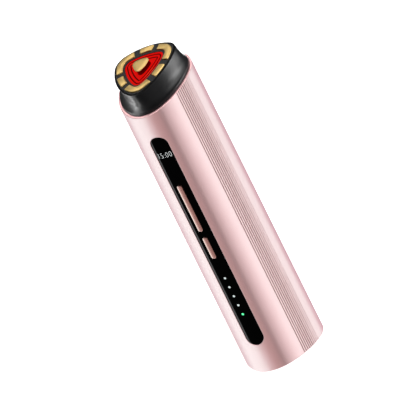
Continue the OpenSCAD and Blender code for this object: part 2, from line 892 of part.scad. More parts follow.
module head_screws() {
    head_t = 1.3;
    color("silver") at_head_screws() union() {
        translate([0, 0, chassis_t]) cylinder(d = 2 * screw_d, h = head_t, $fn = 32);
        translate([0, 0, -head_thread_len])
            cylinder(d = screw_d - 2 * fit, h = head_thread_len + chassis_t + head_t / 2,
                $fn = 32);
    }
}

ribbon_lap = 5;
module head_ribbon() {
    color("orange") difference() {
        block([-ribbon_w / 2, board_back_y, board_top - ribbon_lap],
            [ribbon_w / 2, board_back_y + ribbon_t, mouth_z + rim_h]);
        above_mouth(light_board_low);
    }
}

module light_board() {
    color("darkgreen")
        on_face() prism(face_section(collar_t + 2.5 * free), light_board_low, light_board_top);
}

led_r = 6.6;
module red_leds() {
    half = 1;
    color("red") on_face() for (k = [0:2], turn = [0, 60])
        rotate(corner_dir(k) + turn)
            block([led_r - half, -half, light_board_top],
                [led_r + half, half, light_board_top + led_t]);
}

module electrode_pins() {
    color("gold") on_face() {
        for (k = [0:2]) {
            translate(concat(polar(corner_pin_r, corner_dir(k)), light_board_top))
                cylinder(d = pin_d, h = electrode_low - light_board_top, $fn = 32);
            translate(concat(polar(side_pin_r, corner_dir(k) + 60), light_board_top))
                cylinder(d = pin_d, h = electrode_low - light_board_top, $fn = 32);
        }
        translate([0, 0, light_board_top])
            cylinder(d = pin_d, h = pedestal_top - light_board_top, $fn = 32);
    }
}

sensor_d = 1.2;
sensor_x = -2.2;
module temperature_sensor() {
    color("tan") on_face() translate([sensor_x, 0, light_board_top])
        cylinder(d = sensor_d, h = pedestal_top - light_board_top, $fn = 32);
}

// The bare strips that part the outer electrodes, thinned by a gap on each side
module spokes(low, high, gap) {
    reach = 12;
    for (k = [0:2], s = [-1, 1])
        rotate(corner_dir(k) + 60) translate([side_pin_r, s * spoke_offset, 0])
            rotate(s * spoke_turn)
                block([-reach, gap - spoke_w / 2, low], [reach, spoke_w / 2 - gap, high]);
}

// An outer electrode: the part of the band within a sector, grown by a gap on all sides
sector_corner = 36;
module electrode(dir, sector, low, high, gap) {
    reach = 2 * (face_offset + face_corner_r);
    difference() {
        intersection() {
            prism(band_section(-gap), low, high);
            prism([[0, 0], polar(reach, dir - sector), polar(reach, dir + sector)],
                low - past, high + past);
        }
        prism(band_section(electrode_band + gap), low - past, high + past);
        spokes(low - past, high + past, gap);
    }
}
module corner_piece(k, low, high, gap) {
    electrode(corner_dir(k), sector_corner, low, high, gap);
}
module side_piece(k, low, high, gap) {
    electrode(corner_dir(k) + 60, 60 - sector_corner, low, high, gap);
}

module face_plate() {
    color("#262626") on_face() difference() {
        prism(face_section(rim_t + fit), plate_low, plate_top);
        prism(window_section(-fit), plate_low - past, plate_top + past);
        for (k = [0:2]) {
            corner_piece(k, electrode_low, plate_top + past, fit);
            side_piece(k, electrode_low, plate_top + past, fit);
            for (spot = [polar(corner_pin_r, corner_dir(k)), polar(side_pin_r, corner_dir(k) + 60)])
                translate(concat(spot, plate_low - past))
                    cylinder(d = pin_d + 2 * slide, h = plate_t + 2 * past, $fn = 32);
        }
    }
}

module corner_electrode(k) {
    color("gold") on_face() corner_piece(k, electrode_low, plate_top + electrode_proud, 0);
}
module side_electrode(k) {
    color("gold") on_face() side_piece(k, electrode_low, plate_top + electrode_proud, 0);
}
module corner_electrode_front() {
    corner_electrode(0);
}
module corner_electrode_right() {
    corner_electrode(1);
}
module corner_electrode_left() {
    corner_electrode(2);
}
module side_electrode_right() {
    side_electrode(0);
}
module side_electrode_back() {
    side_electrode(1);
}
module side_electrode_left() {
    side_electrode(2);
}

module red_window() {
    flange = 0.8;
    color("crimson") on_face() difference() {
        union() {
            prism(window_section(-flange), window_low, plate_low);
            prism(window_section(0), window_low, window_top);
        }
        for (inset = [line_1, line_2]) difference() {
            prism(window_section(inset - line_w / 2), window_top - line_depth, window_top + past);
            prism(window_section(inset + line_w / 2), window_low, window_top + 2 * past);
        }
        prism(centre_section(slide), window_low - past, window_top + past);
    }
}

module centre_pedestal() {
    color("darkred") on_face() difference() {
        prism(centre_section(-free), light_board_top, pedestal_top);
        for (bore = [[0, pin_d], [sensor_x, sensor_d]])
            translate([bore[0], 0, light_board_top - past])
                cylinder(d = bore[1] + 2 * slide, h = pedestal_top + past, $fn = 32);
    }
}

module centre_electrode() {
    color("gold") on_face() prism(centre_section(0), pedestal_top, pedestal_top + centre_t);
}

handle_shell();
base_cap();
foot_pad();
base_screws();
usb_receptacle();
usb_tongue();
charge_board();
charge_ribbon();
chassis();
board_screws();
battery_cell();
battery_tabs();
cell_ring();
main_board();
main_chips();
shield_can();
rf_board();
rf_transformer();
rf_capacitors();
motor_holder();
motor_can();
motor_shaft();
motor_weight();
control_panel();
panel_gasket();
indicator_lenses();
power_lens();
indicator_leds();
display_module();
long_key();
short_key();
long_key_plunger();
short_key_plunger();
tact_switches();
collar_ring();
head_shroud();
head_frame();
head_screws();
head_ribbon();
light_board();
red_leds();
electrode_pins();
temperature_sensor();
face_plate();
corner_electrode_front();
corner_electrode_right();
corner_electrode_left();
side_electrode_right();
side_electrode_back();
side_electrode_left();
red_window();
centre_pedestal();
centre_electrode();
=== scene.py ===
"""The looks of a hand-held facial toning device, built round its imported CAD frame.

Forms are drawn in millimetres in the frame's own axes, and scaled to metres when they are
finished. Angles are in degrees, turned from +X towards +Y.
"""

import logging
import math
from collections.abc import Iterable, Sequence
from dataclasses import dataclass, field, replace
from enum import Enum

import bmesh
import bpy
from mathutils import Matrix, Vector


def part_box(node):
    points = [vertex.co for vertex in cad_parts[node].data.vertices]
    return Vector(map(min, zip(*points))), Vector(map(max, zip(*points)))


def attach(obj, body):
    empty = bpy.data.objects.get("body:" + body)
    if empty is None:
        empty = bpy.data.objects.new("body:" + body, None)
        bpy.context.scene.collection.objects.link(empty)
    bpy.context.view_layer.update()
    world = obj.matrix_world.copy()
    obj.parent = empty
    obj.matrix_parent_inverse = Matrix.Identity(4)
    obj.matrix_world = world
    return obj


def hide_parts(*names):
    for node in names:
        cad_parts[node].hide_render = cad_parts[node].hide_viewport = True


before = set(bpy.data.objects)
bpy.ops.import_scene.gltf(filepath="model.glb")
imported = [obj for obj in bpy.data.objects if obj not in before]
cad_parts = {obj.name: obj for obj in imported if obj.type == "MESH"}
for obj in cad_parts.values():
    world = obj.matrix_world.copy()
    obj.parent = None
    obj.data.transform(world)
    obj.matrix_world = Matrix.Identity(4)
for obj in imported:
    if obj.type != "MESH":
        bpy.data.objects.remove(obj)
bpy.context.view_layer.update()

log = logging.getLogger("toning_device")

MM = 0.001
CREASE = 32.0
ROUND_CREASE = 40.0
BODY = "handle"

Rgb = tuple[float, float, float]
Ring = Sequence[Vector]


def node_box(*names: str) -> tuple[Vector, Vector]:
    """Measures CAD nodes.

    Args:
        names: The nodes' names.

    Returns:
        The lowest and the highest corner of the box round them, in millimetres.
    """
    boxes = [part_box(name) for name in names]
    low = Vector([min(box[0][axis] for box in boxes) / MM for axis in range(3)])
    high = Vector([max(box[1][axis] for box in boxes) / MM for axis in range(3)])
    return low, high


# ---- Shader arithmetic and finishes ----


class Field:
    """A shader socket that takes part in Python arithmetic."""

    def __init__(self, bench: "Bench", socket: bpy.types.NodeSocket) -> None:
        """Wraps a socket of one bench."""
        self.bench = bench
        self.socket = socket

    def _math(self, operation: str, first: object, second: object) -> "Field":
        """Adds a Math node.

        Args:
            operation: The node's operation.
            first: A field or a number.
            second: A field or a number.

        Returns:
            The node's result.
        """
        return self.bench.add("ShaderNodeMath", {"operation": operation}, {0: first, 1: second})

    def __add__(self, other: object) -> "Field":
        """Returns self + other."""
        return self._math("ADD", self, other)

    __radd__ = __add__

    def __sub__(self, other: object) -> "Field":
        """Returns self - other."""
        return self._math("SUBTRACT", self, other)

    def __rsub__(self, other: object) -> "Field":
        """Returns other - self."""
        return self._math("SUBTRACT", other, self)

    def __mul__(self, other: object) -> "Field":
        """Returns self * other."""
        return self._math("MULTIPLY", self, other)

    __rmul__ = __mul__


class Bench:
    """Adds nodes to one material."""

    def __init__(self, name: str) -> None:
        """Makes an empty material.

        Args:
            name: The material's name.
        """
        self.material = bpy.data.materials.new(name)
        self.material.use_nodes = True
        self.tree = self.material.node_tree
        self.tree.nodes.clear()

    def add(self, kind: str, settings: dict[str, object], inputs: dict, output: int = 0) -> Field:
        """Adds a node.

        Args:
            kind: The node's type.
            settings: What is set on the node first; "stops" are a ramp's (place, value) pairs.
            inputs: Values or fields by the socket's name or number.
            output: The number of the output that is returned.

        Returns:
            That output.
        """
        node = self.tree.nodes.new(kind)
        for key, value in settings.items():
            if key == "stops":
                marks = node.color_ramp.elements
                while len(marks) < len(value):
                    marks.new(0.5)
                for mark, (place, shade) in zip(marks, value):
                    mark.position = place
                    mark.color = (shade, shade, shade, 1.0)
            else:
                setattr(node, key, value)
        for key, value in inputs.items():
            if isinstance(value, Field):
                self.tree.links.new(value.socket, node.inputs[key])
            else:
                node.inputs[key].default_value = value
        return Field(self, node.outputs[output] if len(node.outputs) else node.inputs[0])

    def place(self, stretch: tuple[float, float, float] = (1.0, 1.0, 1.0)) -> Field:
        """Returns the point on the object in metres, stretched along each axis."""
        point = self.add("ShaderNodeTexCoord", {}, {}, 3)
        return self.add("ShaderNodeMapping", {}, {"Vector": point, "Scale": stretch})

    def blend(self, factor: object, low: object, high: object) -> Field:
        """Returns a colour between two colours, by a factor from 0 to 1."""
        return self.add("ShaderNodeMix", {"data_type": "RGBA"}, {0: factor, 6: low, 7: high}, 2)

    def noise(self, point: Field, size: float, detail: float = 3.0) -> Field:
        """Returns a noise from 0 to 1 whose lumps have that size in millimetres."""
        return self.add(
            "ShaderNodeTexNoise", {}, {"Vector": point, "Scale": 1 / (size * MM), "Detail": detail}
        )


class Grain(Enum):
    """How a finish varies over its surface."""

    EVEN = "fine even grain"
    POLISHED = "broad faint smears"
    BRUSHED = "fine lines"
    PORES = "matte pores"
    TRACKS = "copper tracks below a mask"
    TURNS = "turns of wire"


@dataclass(frozen=True)
class Finish:
    """A finish of one or more pieces.

    Attributes:
        name: The material's name.
        color: The main colour.
        shade: The colour that the main one drifts to.
        drift: How much of that colour there is at most.
        grain: The pattern that varies the surface.
        grain_size: The size of the pattern, in millimetres.
        roughness: The mean roughness.
        spread: How far the roughness varies to each side.
        relief: The strength of the pattern's bumps.
        metallic: How metallic the surface is.
        coat: The weight of a clear coat.
        glow: The colour of the light that it gives off.
        glow_strength: The strength of that light.
    """

    name: str
    color: Rgb
    shade: Rgb
    drift: float
    grain: Grain
    grain_size: float
    roughness: float
    spread: float
    relief: float
    metallic: float = 0.0
    coat: float = 0.0
    glow: Rgb = (0.0, 0.0, 0.0)
    glow_strength: float = 0.0

    def pattern(self, bench: Bench) -> Field:
        """Adds the pattern of the grain.

        Args:
            bench: The material's bench.

        Returns:
            The pattern, from 0 to 1.
        """
        if self.grain is Grain.BRUSHED:
            return bench.noise(bench.place((1.0, 1.0, 0.04)), self.grain_size)
        if self.grain is Grain.TURNS:
            return bench.add(
                "ShaderNodeTexWave",
                {"bands_direction": "Z"},
                {"Vector": bench.place(), "Scale": 0.5 / (self.grain_size * MM), "Distortion": 0.4},
                1,
            )
        if self.grain in (Grain.PORES, Grain.TRACKS):
            tracks = self.grain is Grain.TRACKS
            cells = bench.add(
                "ShaderNodeTexVoronoi",
                {"distance": "CHEBYCHEV" if tracks else "EUCLIDEAN"},
                {"Vector": bench.place(), "Scale": 1 / (self.grain_size * MM)},
            )
            stops = ((0.40, 0.0), (0.46, 1.0)) if tracks else ((0.0, 0.0), (0.6, 1.0))
            return bench.add("ShaderNodeValToRGB", {"stops": stops}, {0: cells})
        return bench.noise(bench.place(), self.grain_size)

    def make(self) -> bpy.types.Material:
        """Returns the material, which is made once."""
        name = f"{self.name}_finish"
        known = bpy.data.materials.get(name)
        if known:
            return known
        bench = Bench(name)
        pattern = self.pattern(bench)
        smear = bench.noise(bench.place(), 14.0, 2.0)
        mixed = (pattern * 0.6 + smear * 0.4) * (2 * self.drift)
        height = bench.add(
            "ShaderNodeBump",
            {},
            {"Strength": self.relief, "Distance": 0.05 * MM, "Height": pattern},
        )
        shader = bench.add(
            "ShaderNodeBsdfPrincipled",
            {},
            {
                "Base Color": bench.blend(mixed, (*self.color, 1.0), (*self.shade, 1.0)),
                "Roughness": pattern * (2 * self.spread) + (self.roughness - self.spread),
                "Metallic": self.metallic,
                "Coat Weight": self.coat,
                "Coat Roughness": 0.04,
                "Emission Color": (*self.glow, 1.0),
                "Emission Strength": self.glow_strength,
                "Normal": height,
            },
        )
        bench.add("ShaderNodeOutputMaterial", {}, {"Surface": shader})
        return bench.material


ROSE = Finish(
    "rose_anodised", (0.90, 0.585, 0.595), (0.86, 0.53, 0.545), 0.25,
    Grain.EVEN, 0.12, 0.40, 0.05, 0.06, metallic=0.9,
)
# Painted shade: darker copies of the rose finish for the faces in the grooves, deep near the panel
# and soft further on.
ROSE_DEEP_SHADE = Finish(
    "rose_deep_painted_shade", (0.50, 0.25, 0.26), (0.44, 0.20, 0.215), 0.25,
    Grain.EVEN, 0.12, 0.45, 0.05, 0.06, metallic=0.9,
)
ROSE_SOFT_SHADE = Finish(
    "rose_soft_painted_shade", (0.74, 0.44, 0.45), (0.69, 0.39, 0.405), 0.25,
    Grain.EVEN, 0.12, 0.43, 0.05, 0.06, metallic=0.9,
)
ROSE_KEY = Finish(
    "rose_key", (0.86, 0.53, 0.48), (0.80, 0.46, 0.41), 0.25,
    Grain.BRUSHED, 0.10, 0.28, 0.05, 0.05, metallic=1.0,
)
BLACK_GLASS = Finish(
    "black_glass", (0.002, 0.002, 0.0022), (0.004, 0.004, 0.004), 0.5,
    Grain.POLISHED, 6.0, 0.06, 0.02, 0.0,
)
BLACK_GLOSS = Finish(
    "black_gloss", (0.010, 0.010, 0.011), (0.016, 0.016, 0.017), 0.5,
    Grain.POLISHED, 3.0, 0.34, 0.03, 0.01,
)
BLACK_SATIN = Finish(
    "black_satin", (0.020, 0.021, 0.023), (0.034, 0.036, 0.039), 0.5,
    Grain.EVEN, 0.10, 0.42, 0.08, 0.12,
)
RUBBER = Finish(
    "dark_rubber", (0.030, 0.030, 0.031), (0.050, 0.050, 0.050), 0.5,
    Grain.PORES, 0.35, 0.75, 0.08, 0.35,
)
GOLD = Finish(
    "gold_plate", (0.88, 0.69, 0.37), (0.77, 0.58, 0.28), 0.5,
    Grain.POLISHED, 3.2, 0.30, 0.05, 0.02, metallic=1.0,
)
RED_WINDOW = Finish(
    "red_window", (0.30, 0.002, 0.002), (0.20, 0.001, 0.001), 0.5,
    Grain.POLISHED, 2.5, 0.16, 0.04, 0.02, glow=(1.0, 0.006, 0.004), glow_strength=0.66,
)
# Painted shade: a dark red that does not glow, for the faces inside the window's grooves.
RED_GROOVE_SHADE = Finish(
    "red_groove_painted_shade", (0.02, 0.0005, 0.0005), (0.04, 0.001, 0.001), 0.5,
    Grain.POLISHED, 1.5, 0.25, 0.04, 0.02,
)
RED_POST = Finish(
    "red_post", (0.10, 0.002, 0.002), (0.16, 0.004, 0.004), 0.5,
    Grain.POLISHED, 1.5, 0.22, 0.04, 0.02, coat=0.3,
)
STEEL = Finish(
    "nickel_steel", (0.60, 0.60, 0.60), (0.48, 0.48, 0.50), 0.4,
    Grain.BRUSHED, 0.15, 0.32, 0.08, 0.08, metallic=1.0,
)
RESIN = Finish(
    "black_resin", (0.018, 0.018, 0.019), (0.03, 0.03, 0.03), 0.5,
    Grain.EVEN, 0.20, 0.50, 0.06, 0.15,
)
BOARD = Finish(
    "board_green", (0.006, 0.085, 0.040), (0.03, 0.19, 0.09), 0.5,
    Grain.TRACKS, 1.1, 0.32, 0.06, 0.20, coat=0.2,
)
AMBER = Finish(
    "amber_film", (0.55, 0.22, 0.02), (0.42, 0.15, 0.01), 0.4,
    Grain.BRUSHED, 0.30, 0.30, 0.05, 0.05,
)
MOULDED = Finish(
    "moulded_grey", (0.26, 0.27, 0.28), (0.21, 0.22, 0.23), 0.4,
    Grain.EVEN, 0.30, 0.55, 0.06, 0.15,
)
CELL_WRAP = Finish(
    "cell_wrap", (0.02, 0.09, 0.32), (0.015, 0.07, 0.26), 0.4,
    Grain.POLISHED, 5.0, 0.25, 0.05, 0.05, coat=0.3,
)
FERRITE = Finish(
    "ferrite_and_copper", (0.05, 0.045, 0.045), (0.40, 0.16, 0.05), 0.4,
    Grain.TURNS, 0.35, 0.45, 0.08, 0.30, metallic=0.3,
)
CAPACITOR = Finish(
    "capacitor_sleeve", (0.03, 0.035, 0.12), (0.04, 0.05, 0.18), 0.4,
    Grain.POLISHED, 2.0, 0.30, 0.05, 0.05,
)
ALLOY = Finish(
    "sintered_alloy", (0.42, 0.33, 0.18), (0.33, 0.25, 0.13), 0.5,
    Grain.PORES, 0.30, 0.40, 0.08, 0.15, metallic=1.0,
)
IVORY = Finish(
    "ivory_nylon", (0.72, 0.66, 0.50), (0.62, 0.56, 0.42), 0.4,
    Grain.EVEN, 0.20, 0.45, 0.05, 0.10,
)
SWITCH = Finish(
    "switch_grey", (0.08, 0.08, 0.085), (0.12, 0.12, 0.12), 0.4,
    Grain.EVEN, 0.20, 0.50, 0.05, 0.10,
)
SENSOR = Finish(
    "epoxy_bead", (0.35, 0.18, 0.08), (0.28, 0.14, 0.06), 0.4,
    Grain.POLISHED, 0.5, 0.25, 0.05, 0.05, coat=0.3,
)
LED_BODY = Finish(
    "led_body", (0.75, 0.66, 0.30), (0.62, 0.52, 0.22), 0.4,
    Grain.EVEN, 0.15, 0.35, 0.05, 0.05,
)
LED_RED = Finish(
    "led_red", (0.7, 0.02, 0.02), (0.55, 0.01, 0.01), 0.4,
    Grain.EVEN, 0.15, 0.30, 0.05, 0.05, glow=(1.0, 0.02, 0.01), glow_strength=2.0,
)
DISPLAY = Finish(
    "display_body", (0.60, 0.62, 0.64), (0.50, 0.52, 0.54), 0.4,
    Grain.EVEN, 0.20, 0.35, 0.05, 0.05,
)
DIGIT = Finish(
    "lit_digit", (0.55, 0.56, 0.56), (0.48, 0.50, 0.50), 0.3,
    Grain.EVEN, 0.10, 0.40, 0.05, 0.0, glow=(0.95, 1.0, 1.0), glow_strength=0.45,
)
LENS_WHITE = Finish(
    "white_lens", (0.70, 0.74, 0.74), (0.60, 0.64, 0.64), 0.3,
    Grain.EVEN, 0.15, 0.25, 0.05, 0.0, coat=0.5, glow=(0.85, 1.0, 0.98), glow_strength=0.30,
)
PALE_FLOOR = Finish(
    "pale_floor", (0.86, 0.86, 0.86), (0.84, 0.84, 0.84), 0.2,
    Grain.EVEN, 40.0, 0.9, 0.05, 0.0,
)
LENS_GREEN = Finish(
    "green_lens", (0.05, 0.55, 0.22), (0.04, 0.45, 0.18), 0.3,
    Grain.EVEN, 0.15, 0.25, 0.05, 0.0, coat=0.5, glow=(0.10, 1.0, 0.38), glow_strength=1.1,
)


# ---- Outlines ----


def polar(radius: float, turn: float) -> Vector:
    """Returns a flat point at a distance and a direction."""
    return Vector((radius * math.cos(math.radians(turn)), radius * math.sin(math.radians(turn))))


def corner_dir(number: int) -> float:
    """Returns the direction of a corner, counted from the front one."""
    return -90.0 + 120.0 * number


@dataclass(frozen=True)
class Section:
    """A rounded triangle with bowed sides and one corner towards -Y.

    Attributes:
        offset: Distance from the middle to the centre of each corner.
        corner_r: Radius of the corners.
        side_r: Radius of the sides.
    """

    offset: float
    corner_r: float
    side_r: float

    def side_half(self) -> float:
        """Returns half of the angle that a side spans."""
        across = self.offset * math.sin(math.radians(60))
        return math.degrees(math.asin(across / (self.side_r - self.corner_r)))

    def side_back(self) -> float:
        """Returns how far a side's centre lies behind the middle."""
        across = self.offset * math.sin(math.radians(60))
        return math.sqrt((self.side_r - self.corner_r) ** 2 - across**2) - self.offset / 2

    def at(self, turn: float, inset: float = 0.0) -> Vector:
        """Finds the point of the outline that faces a direction.

        Args:
            turn: The direction.
            inset: How far inside the outline the point lies.

        Returns:
            The flat point.
        """
        number = round((turn + 90.0) / 120.0)
        past = turn - corner_dir(number)
        if abs(past) <= 60.0 - self.side_half():
            return polar(self.offset, corner_dir(number)) + polar(self.corner_r - inset, turn)
        side = corner_dir(number) + math.copysign(60.0, past)
        return polar(-self.side_back(), side) + polar(self.side_r - inset, turn)


# The middle of each grooved side, and the way in which its grooves are counted
GROOVED_SIDES = ((corner_dir(0) + 60.0, 1), (corner_dir(3) - 60.0, -1))

HANDLE = Section(7.0, 15.1, 31.1)
FACE = Section(11.6, 7.8, 33.4)
BAND = Section(10.3, 7.1, 28.7)
WINDOW = Section(8.2, 4.1, 34.5)
CENTRE = Section(2.9, 2.1, 12.5)


def even_turns(count: int) -> list[float]:
    """Returns that many directions, evenly spread."""
    return [-90.0 + 360.0 * i / count for i in range(count)]


def stadium(length: float, width: float, steps: int) -> list[tuple[float, float]]:
    """Draws a slot shape with round ends, long way up.

    Args:
        length: The whole length.
        width: The width.
        steps: The number of steps round each end.

    Returns:
        Points in X and Z.
    """
    ends = []
    for sign, start in ((1, 0.0), (-1, 180.0)):
        for i in range(steps + 1):
            point = polar(width / 2, start + 180.0 * i / steps)
            ends.append((point.x, point.y + sign * (length - width) / 2))
    return ends


def front_y(x: float, inset: float = 0.0) -> float:
    """Returns the Y of the handle's front corner at X, at a depth below its surface."""
    return -(HANDLE.offset + math.sqrt((HANDLE.corner_r - inset) ** 2 - x * x))


def rounding(radius: float, steps: int = 4) -> list[tuple[float, float]]:
    """Returns (inset, depth) pairs round an edge, from its side to its top."""
    angles = [math.pi / 2 * i / steps for i in range(steps + 1)]
    return [(radius * (1 - math.cos(a)), radius * (1 - math.sin(a))) for a in angles]


@dataclass(frozen=True)
class Mouth:
    """The plane of the handle's slanted mouth, which carries the head.

    Attributes:
        height: Height of the plane on the axis.
        tilt: Its lean.
        turn: The direction that it leans to.
        shift: Shift of the face from the middle of the mouth.
    """

    height: float = 159.7
    tilt: float = 12.3
    turn: float = -120.0
    shift: tuple[float, float] = (0.9, 0.5)

    def over(self, point: Vector, rise: float) -> Vector:
        """Returns the place straight above a flat point, at a rise over the plane."""
        tilt = math.radians(self.tilt)
        along = point.dot(polar(1.0, self.turn))
        return Vector(
            (point.x, point.y, self.height + (rise - along * math.sin(tilt)) / math.cos(tilt))
        )

    def face_frame(self) -> Matrix:
        """Returns the frame of the face, whose Z is square to the plane."""
        lean = polar(1.0, self.turn)
        axis = Vector((-lean.y, lean.x, 0.0))
        return (
            Matrix.Translation((0.0, 0.0, self.height))
            @ Matrix.Rotation(math.radians(self.tilt), 4, axis)
            @ Matrix.Translation((*self.shift, 0.0))
        )

    def on_face(self, point: Vector, rise: float) -> Vector:
        """Returns the place of a flat point of the face, at a rise over the plane."""
        return self.face_frame() @ Vector((point.x, point.y, rise))


MOUTH = Mouth()


# ---- Forms ----


class Form:
    """A mesh under construction, in millimetres."""

    def __init__(self) -> None:
        """Starts an empty mesh."""
        self.bm = bmesh.new()

    def loop(self, places: Ring) -> list[bmesh.types.BMVert]:
        """Lays a closed loop of edges through the places, and returns its vertices."""
        made = bmesh.ops.create_circle(
            self.bm, cap_ends=False, segments=len(places), radius=1.0
        )
        for vert, place in zip(made["verts"], places):
            vert.co = place
        return made["verts"]

    def step(self, ring: Sequence[bmesh.types.BMVert], places: Ring) -> list[bmesh.types.BMVert]:
        """Extrudes a loop to new places.

        Args:
            ring: The loop's vertices in order.
            places: Where the new loop's vertices go.

        Returns:
            The new loop's vertices.
        """
        count = len(ring)
        edges = [self.bm.edges.get((ring[i], ring[(i + 1) % count])) for i in range(count)]
        made = bmesh.ops.extrude_edge_only(self.bm, edges=edges)
        fresh = {item for item in made["geom"] if isinstance(item, bmesh.types.BMVert)}
        after = [
            next(other for e in v.link_edges if (other := e.other_vert(v)) in fresh) for v in ring
        ]
        for vert, place in zip(after, places):
            vert.co = place
        return after

    def cap(self, ring: Sequence[bmesh.types.BMVert]) -> list[bmesh.types.BMFace]:
        """Fills a loop with one face."""
        count = len(ring)
        edges = [self.bm.edges.get((ring[i], ring[(i + 1) % count])) for i in range(count)]
        return bmesh.ops.contextual_create(self.bm, geom=edges)["faces"]

    def loft(self, rings: Sequence[Ring], closed: bool = False) -> list[list[bmesh.types.BMVert]]:
        """Lays a skin over a run of loops.

        Args:
            rings: The places of each loop.
            closed: Whether the last loop joins the first, as on a hollow piece. Otherwise
                both ends are capped.

        Returns:
            The vertices of each loop.
        """
        made = [self.loop(rings[0])]
        for places in rings[1:]:
            made.append(self.step(made[-1], places))
        if closed:
            end = self.step(made[-1], rings[0])
            bmesh.ops.weld_verts(self.bm, targetmap=dict(zip(end, made[0])))
        else:
            self.cap(made[0])
            self.cap(made[-1])
        return made

    def rod(self, radius: float, start: Vector, end: Vector, steps: int = 32) -> None:
        """Adds a round rod between two places."""
        along = end - start
        turn = along.to_track_quat("Z", "Y").to_matrix().to_4x4()
        bmesh.ops.create_cone(
            self.bm,
            cap_ends=True,
            segments=steps,
            radius1=radius,
            radius2=radius,
            depth=along.length,
            matrix=Matrix.Translation((start + end) / 2) @ turn,
        )

    def finish(self, name: str, crease: float = CREASE, even: bool = True) -> bpy.types.Object:
        """Makes the object.

        Args:
            name: The object's name.
            crease: Edges sharper than this stay sharp.
            even: Whether its large faces lead the shading. Otherwise they look crowned.

        Returns:
            The object, in metres.
        """
        bmesh.ops.remove_doubles(self.bm, verts=self.bm.verts, dist=1e-4)
        bmesh.ops.recalc_face_normals(self.bm, faces=self.bm.faces)
        bmesh.ops.scale(self.bm, vec=(MM, MM, MM), verts=self.bm.verts)
        mesh = bpy.data.meshes.new(name)
        for face in self.bm.faces:
            face.smooth = True
        self.bm.to_mesh(mesh)
        self.bm.free()
        thing = bpy.data.objects.new(name, mesh)
        bpy.context.scene.collection.objects.link(thing)
        settle(thing, crease, even)
        return thing


def settle(thing: bpy.types.Object, crease: float, even: bool = True) -> None:
    """Turns a piece's modifiers into its mesh, and lets its large faces lead the shading.

    Args:
        thing: The piece.
        crease: Edges sharper than this stay sharp.
        even: Whether the large faces lead.
    """
    for last in (False, True) if even else (False,):
        if last:
            thing.modifiers.new("even", "WEIGHTED_NORMAL").keep_sharp = True
        graph = bpy.context.evaluated_depsgraph_get()
        mesh = bpy.data.meshes.new_from_object(thing.evaluated_get(graph))
        mesh.name = thing.name
        thing.modifiers.clear()
        thing.data = mesh
        if not last:
            mesh.set_sharp_from_angle(angle=math.radians(crease))


def carve(thing: bpy.types.Object, cutter: bpy.types.Object) -> None:
    """Takes a cutter's shape out of a piece.

    Args:
        thing: The piece.
        cutter: The cutter, which is used up.
    """
    cut = thing.modifiers.new("cut", "BOOLEAN")
    cut.operation = "DIFFERENCE"
    cut.solver = "EXACT"
    cut.object = cutter
    settle(thing, CREASE)
    bpy.data.objects.remove(cutter)


@dataclass
class Assembly:
    """A sub-assembly that keeps a list of the pieces it has made."""

    pieces: list[bpy.types.Object] = field(default_factory=list, init=False)

    def place(
        self,
        thing: bpy.types.Object,
        finishes: Sequence[Finish],
        slot: str,
        nodes: Sequence[str] = (),
        body: str = BODY,
    ) -> bpy.types.Object:
        """slot: The record's material slot; it is not used.
            body: The CAD body that it moves with.

        Returns:
            The piece.
        """
        slots = thing.data.materials
        for number, finish in enumerate(finishes):
            if number < len(slots):
                slots[number] = finish.make()
            else:
                slots.append(finish.make())
        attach(thing, body)
        if nodes:
            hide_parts(*nodes)
        self.pieces.append(thing)
        log.info("%s: %d faces for %s", thing.name, len(thing.data.polygons), ", ".join(nodes))
        return thing

    def dress(self, finish: Finish, *nodes: str) -> None:
        """Gives CAD nodes a finish."""
        for name in nodes:
            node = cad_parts[name]
            for entry in node.material_slots:
                entry.material = finish.make()
            self.pieces.append(node)
            log.info("%s: dressed in %s", name, finish.name)


# The width of the panel's hidden lip behind its edge, and how far outside a cutter starts
PANEL_LIP = 1.6
CUT_MARGIN = 2.0


@dataclass(frozen=True)
class Slot:
    """A slot shape with round ends on the handle's front corner.

    Attributes:
        length: Its length.
        width: Its width.
        middle: The height of its middle.
    """

    length: float
    width: float
    middle: float

    @classmethod
    def inside(cls, node: str, edge: float) -> "Slot":
        """Returns the slot shape that lies that far inside a CAD node's edges."""
        low, high = node_box(node)
        return cls(high.z - low.z - 2 * edge, high.x - low.x - 2 * edge, (low.z + high.z) / 2)

    def grown(self, by: float) -> "Slot":
        """Returns the slot shape that lies that far outside this one."""
        return Slot(self.length + 2 * by, self.width + 2 * by, self.middle)

    def loop(self, grow: float, inset: float, steps: int = 24) -> Ring:
        """Draws the grown shape on the handle's front corner.

        Args:
            grow: How far outside this shape it lies.
            inset: Its depth below the handle's surface.
            steps: The number of steps round each end.

        Returns:
            The loop's places.
        """
        points = stadium(self.length + 2 * grow, self.width + 2 * grow, steps)
        return [Vector((x, front_y(x, inset), z + self.middle)) for x, z in points]

    def cutter(self, edge: float, depth: float) -> list[Ring]:
        """Draws a cutter that leaves a rounded edge.

        Args:
            edge: The radius of the edge.
            depth: How deep it cuts.

        Returns:
            The loops from outside to inside.
        """
        angles = [math.pi / 2 * i / 4 for i in range(5)]
        flare = [self.loop(edge * (1 - math.sin(a)), edge * (1 - math.cos(a))) for a in angles]
        return [self.loop(edge, -CUT_MARGIN), *flare, self.loop(0.0, depth)]


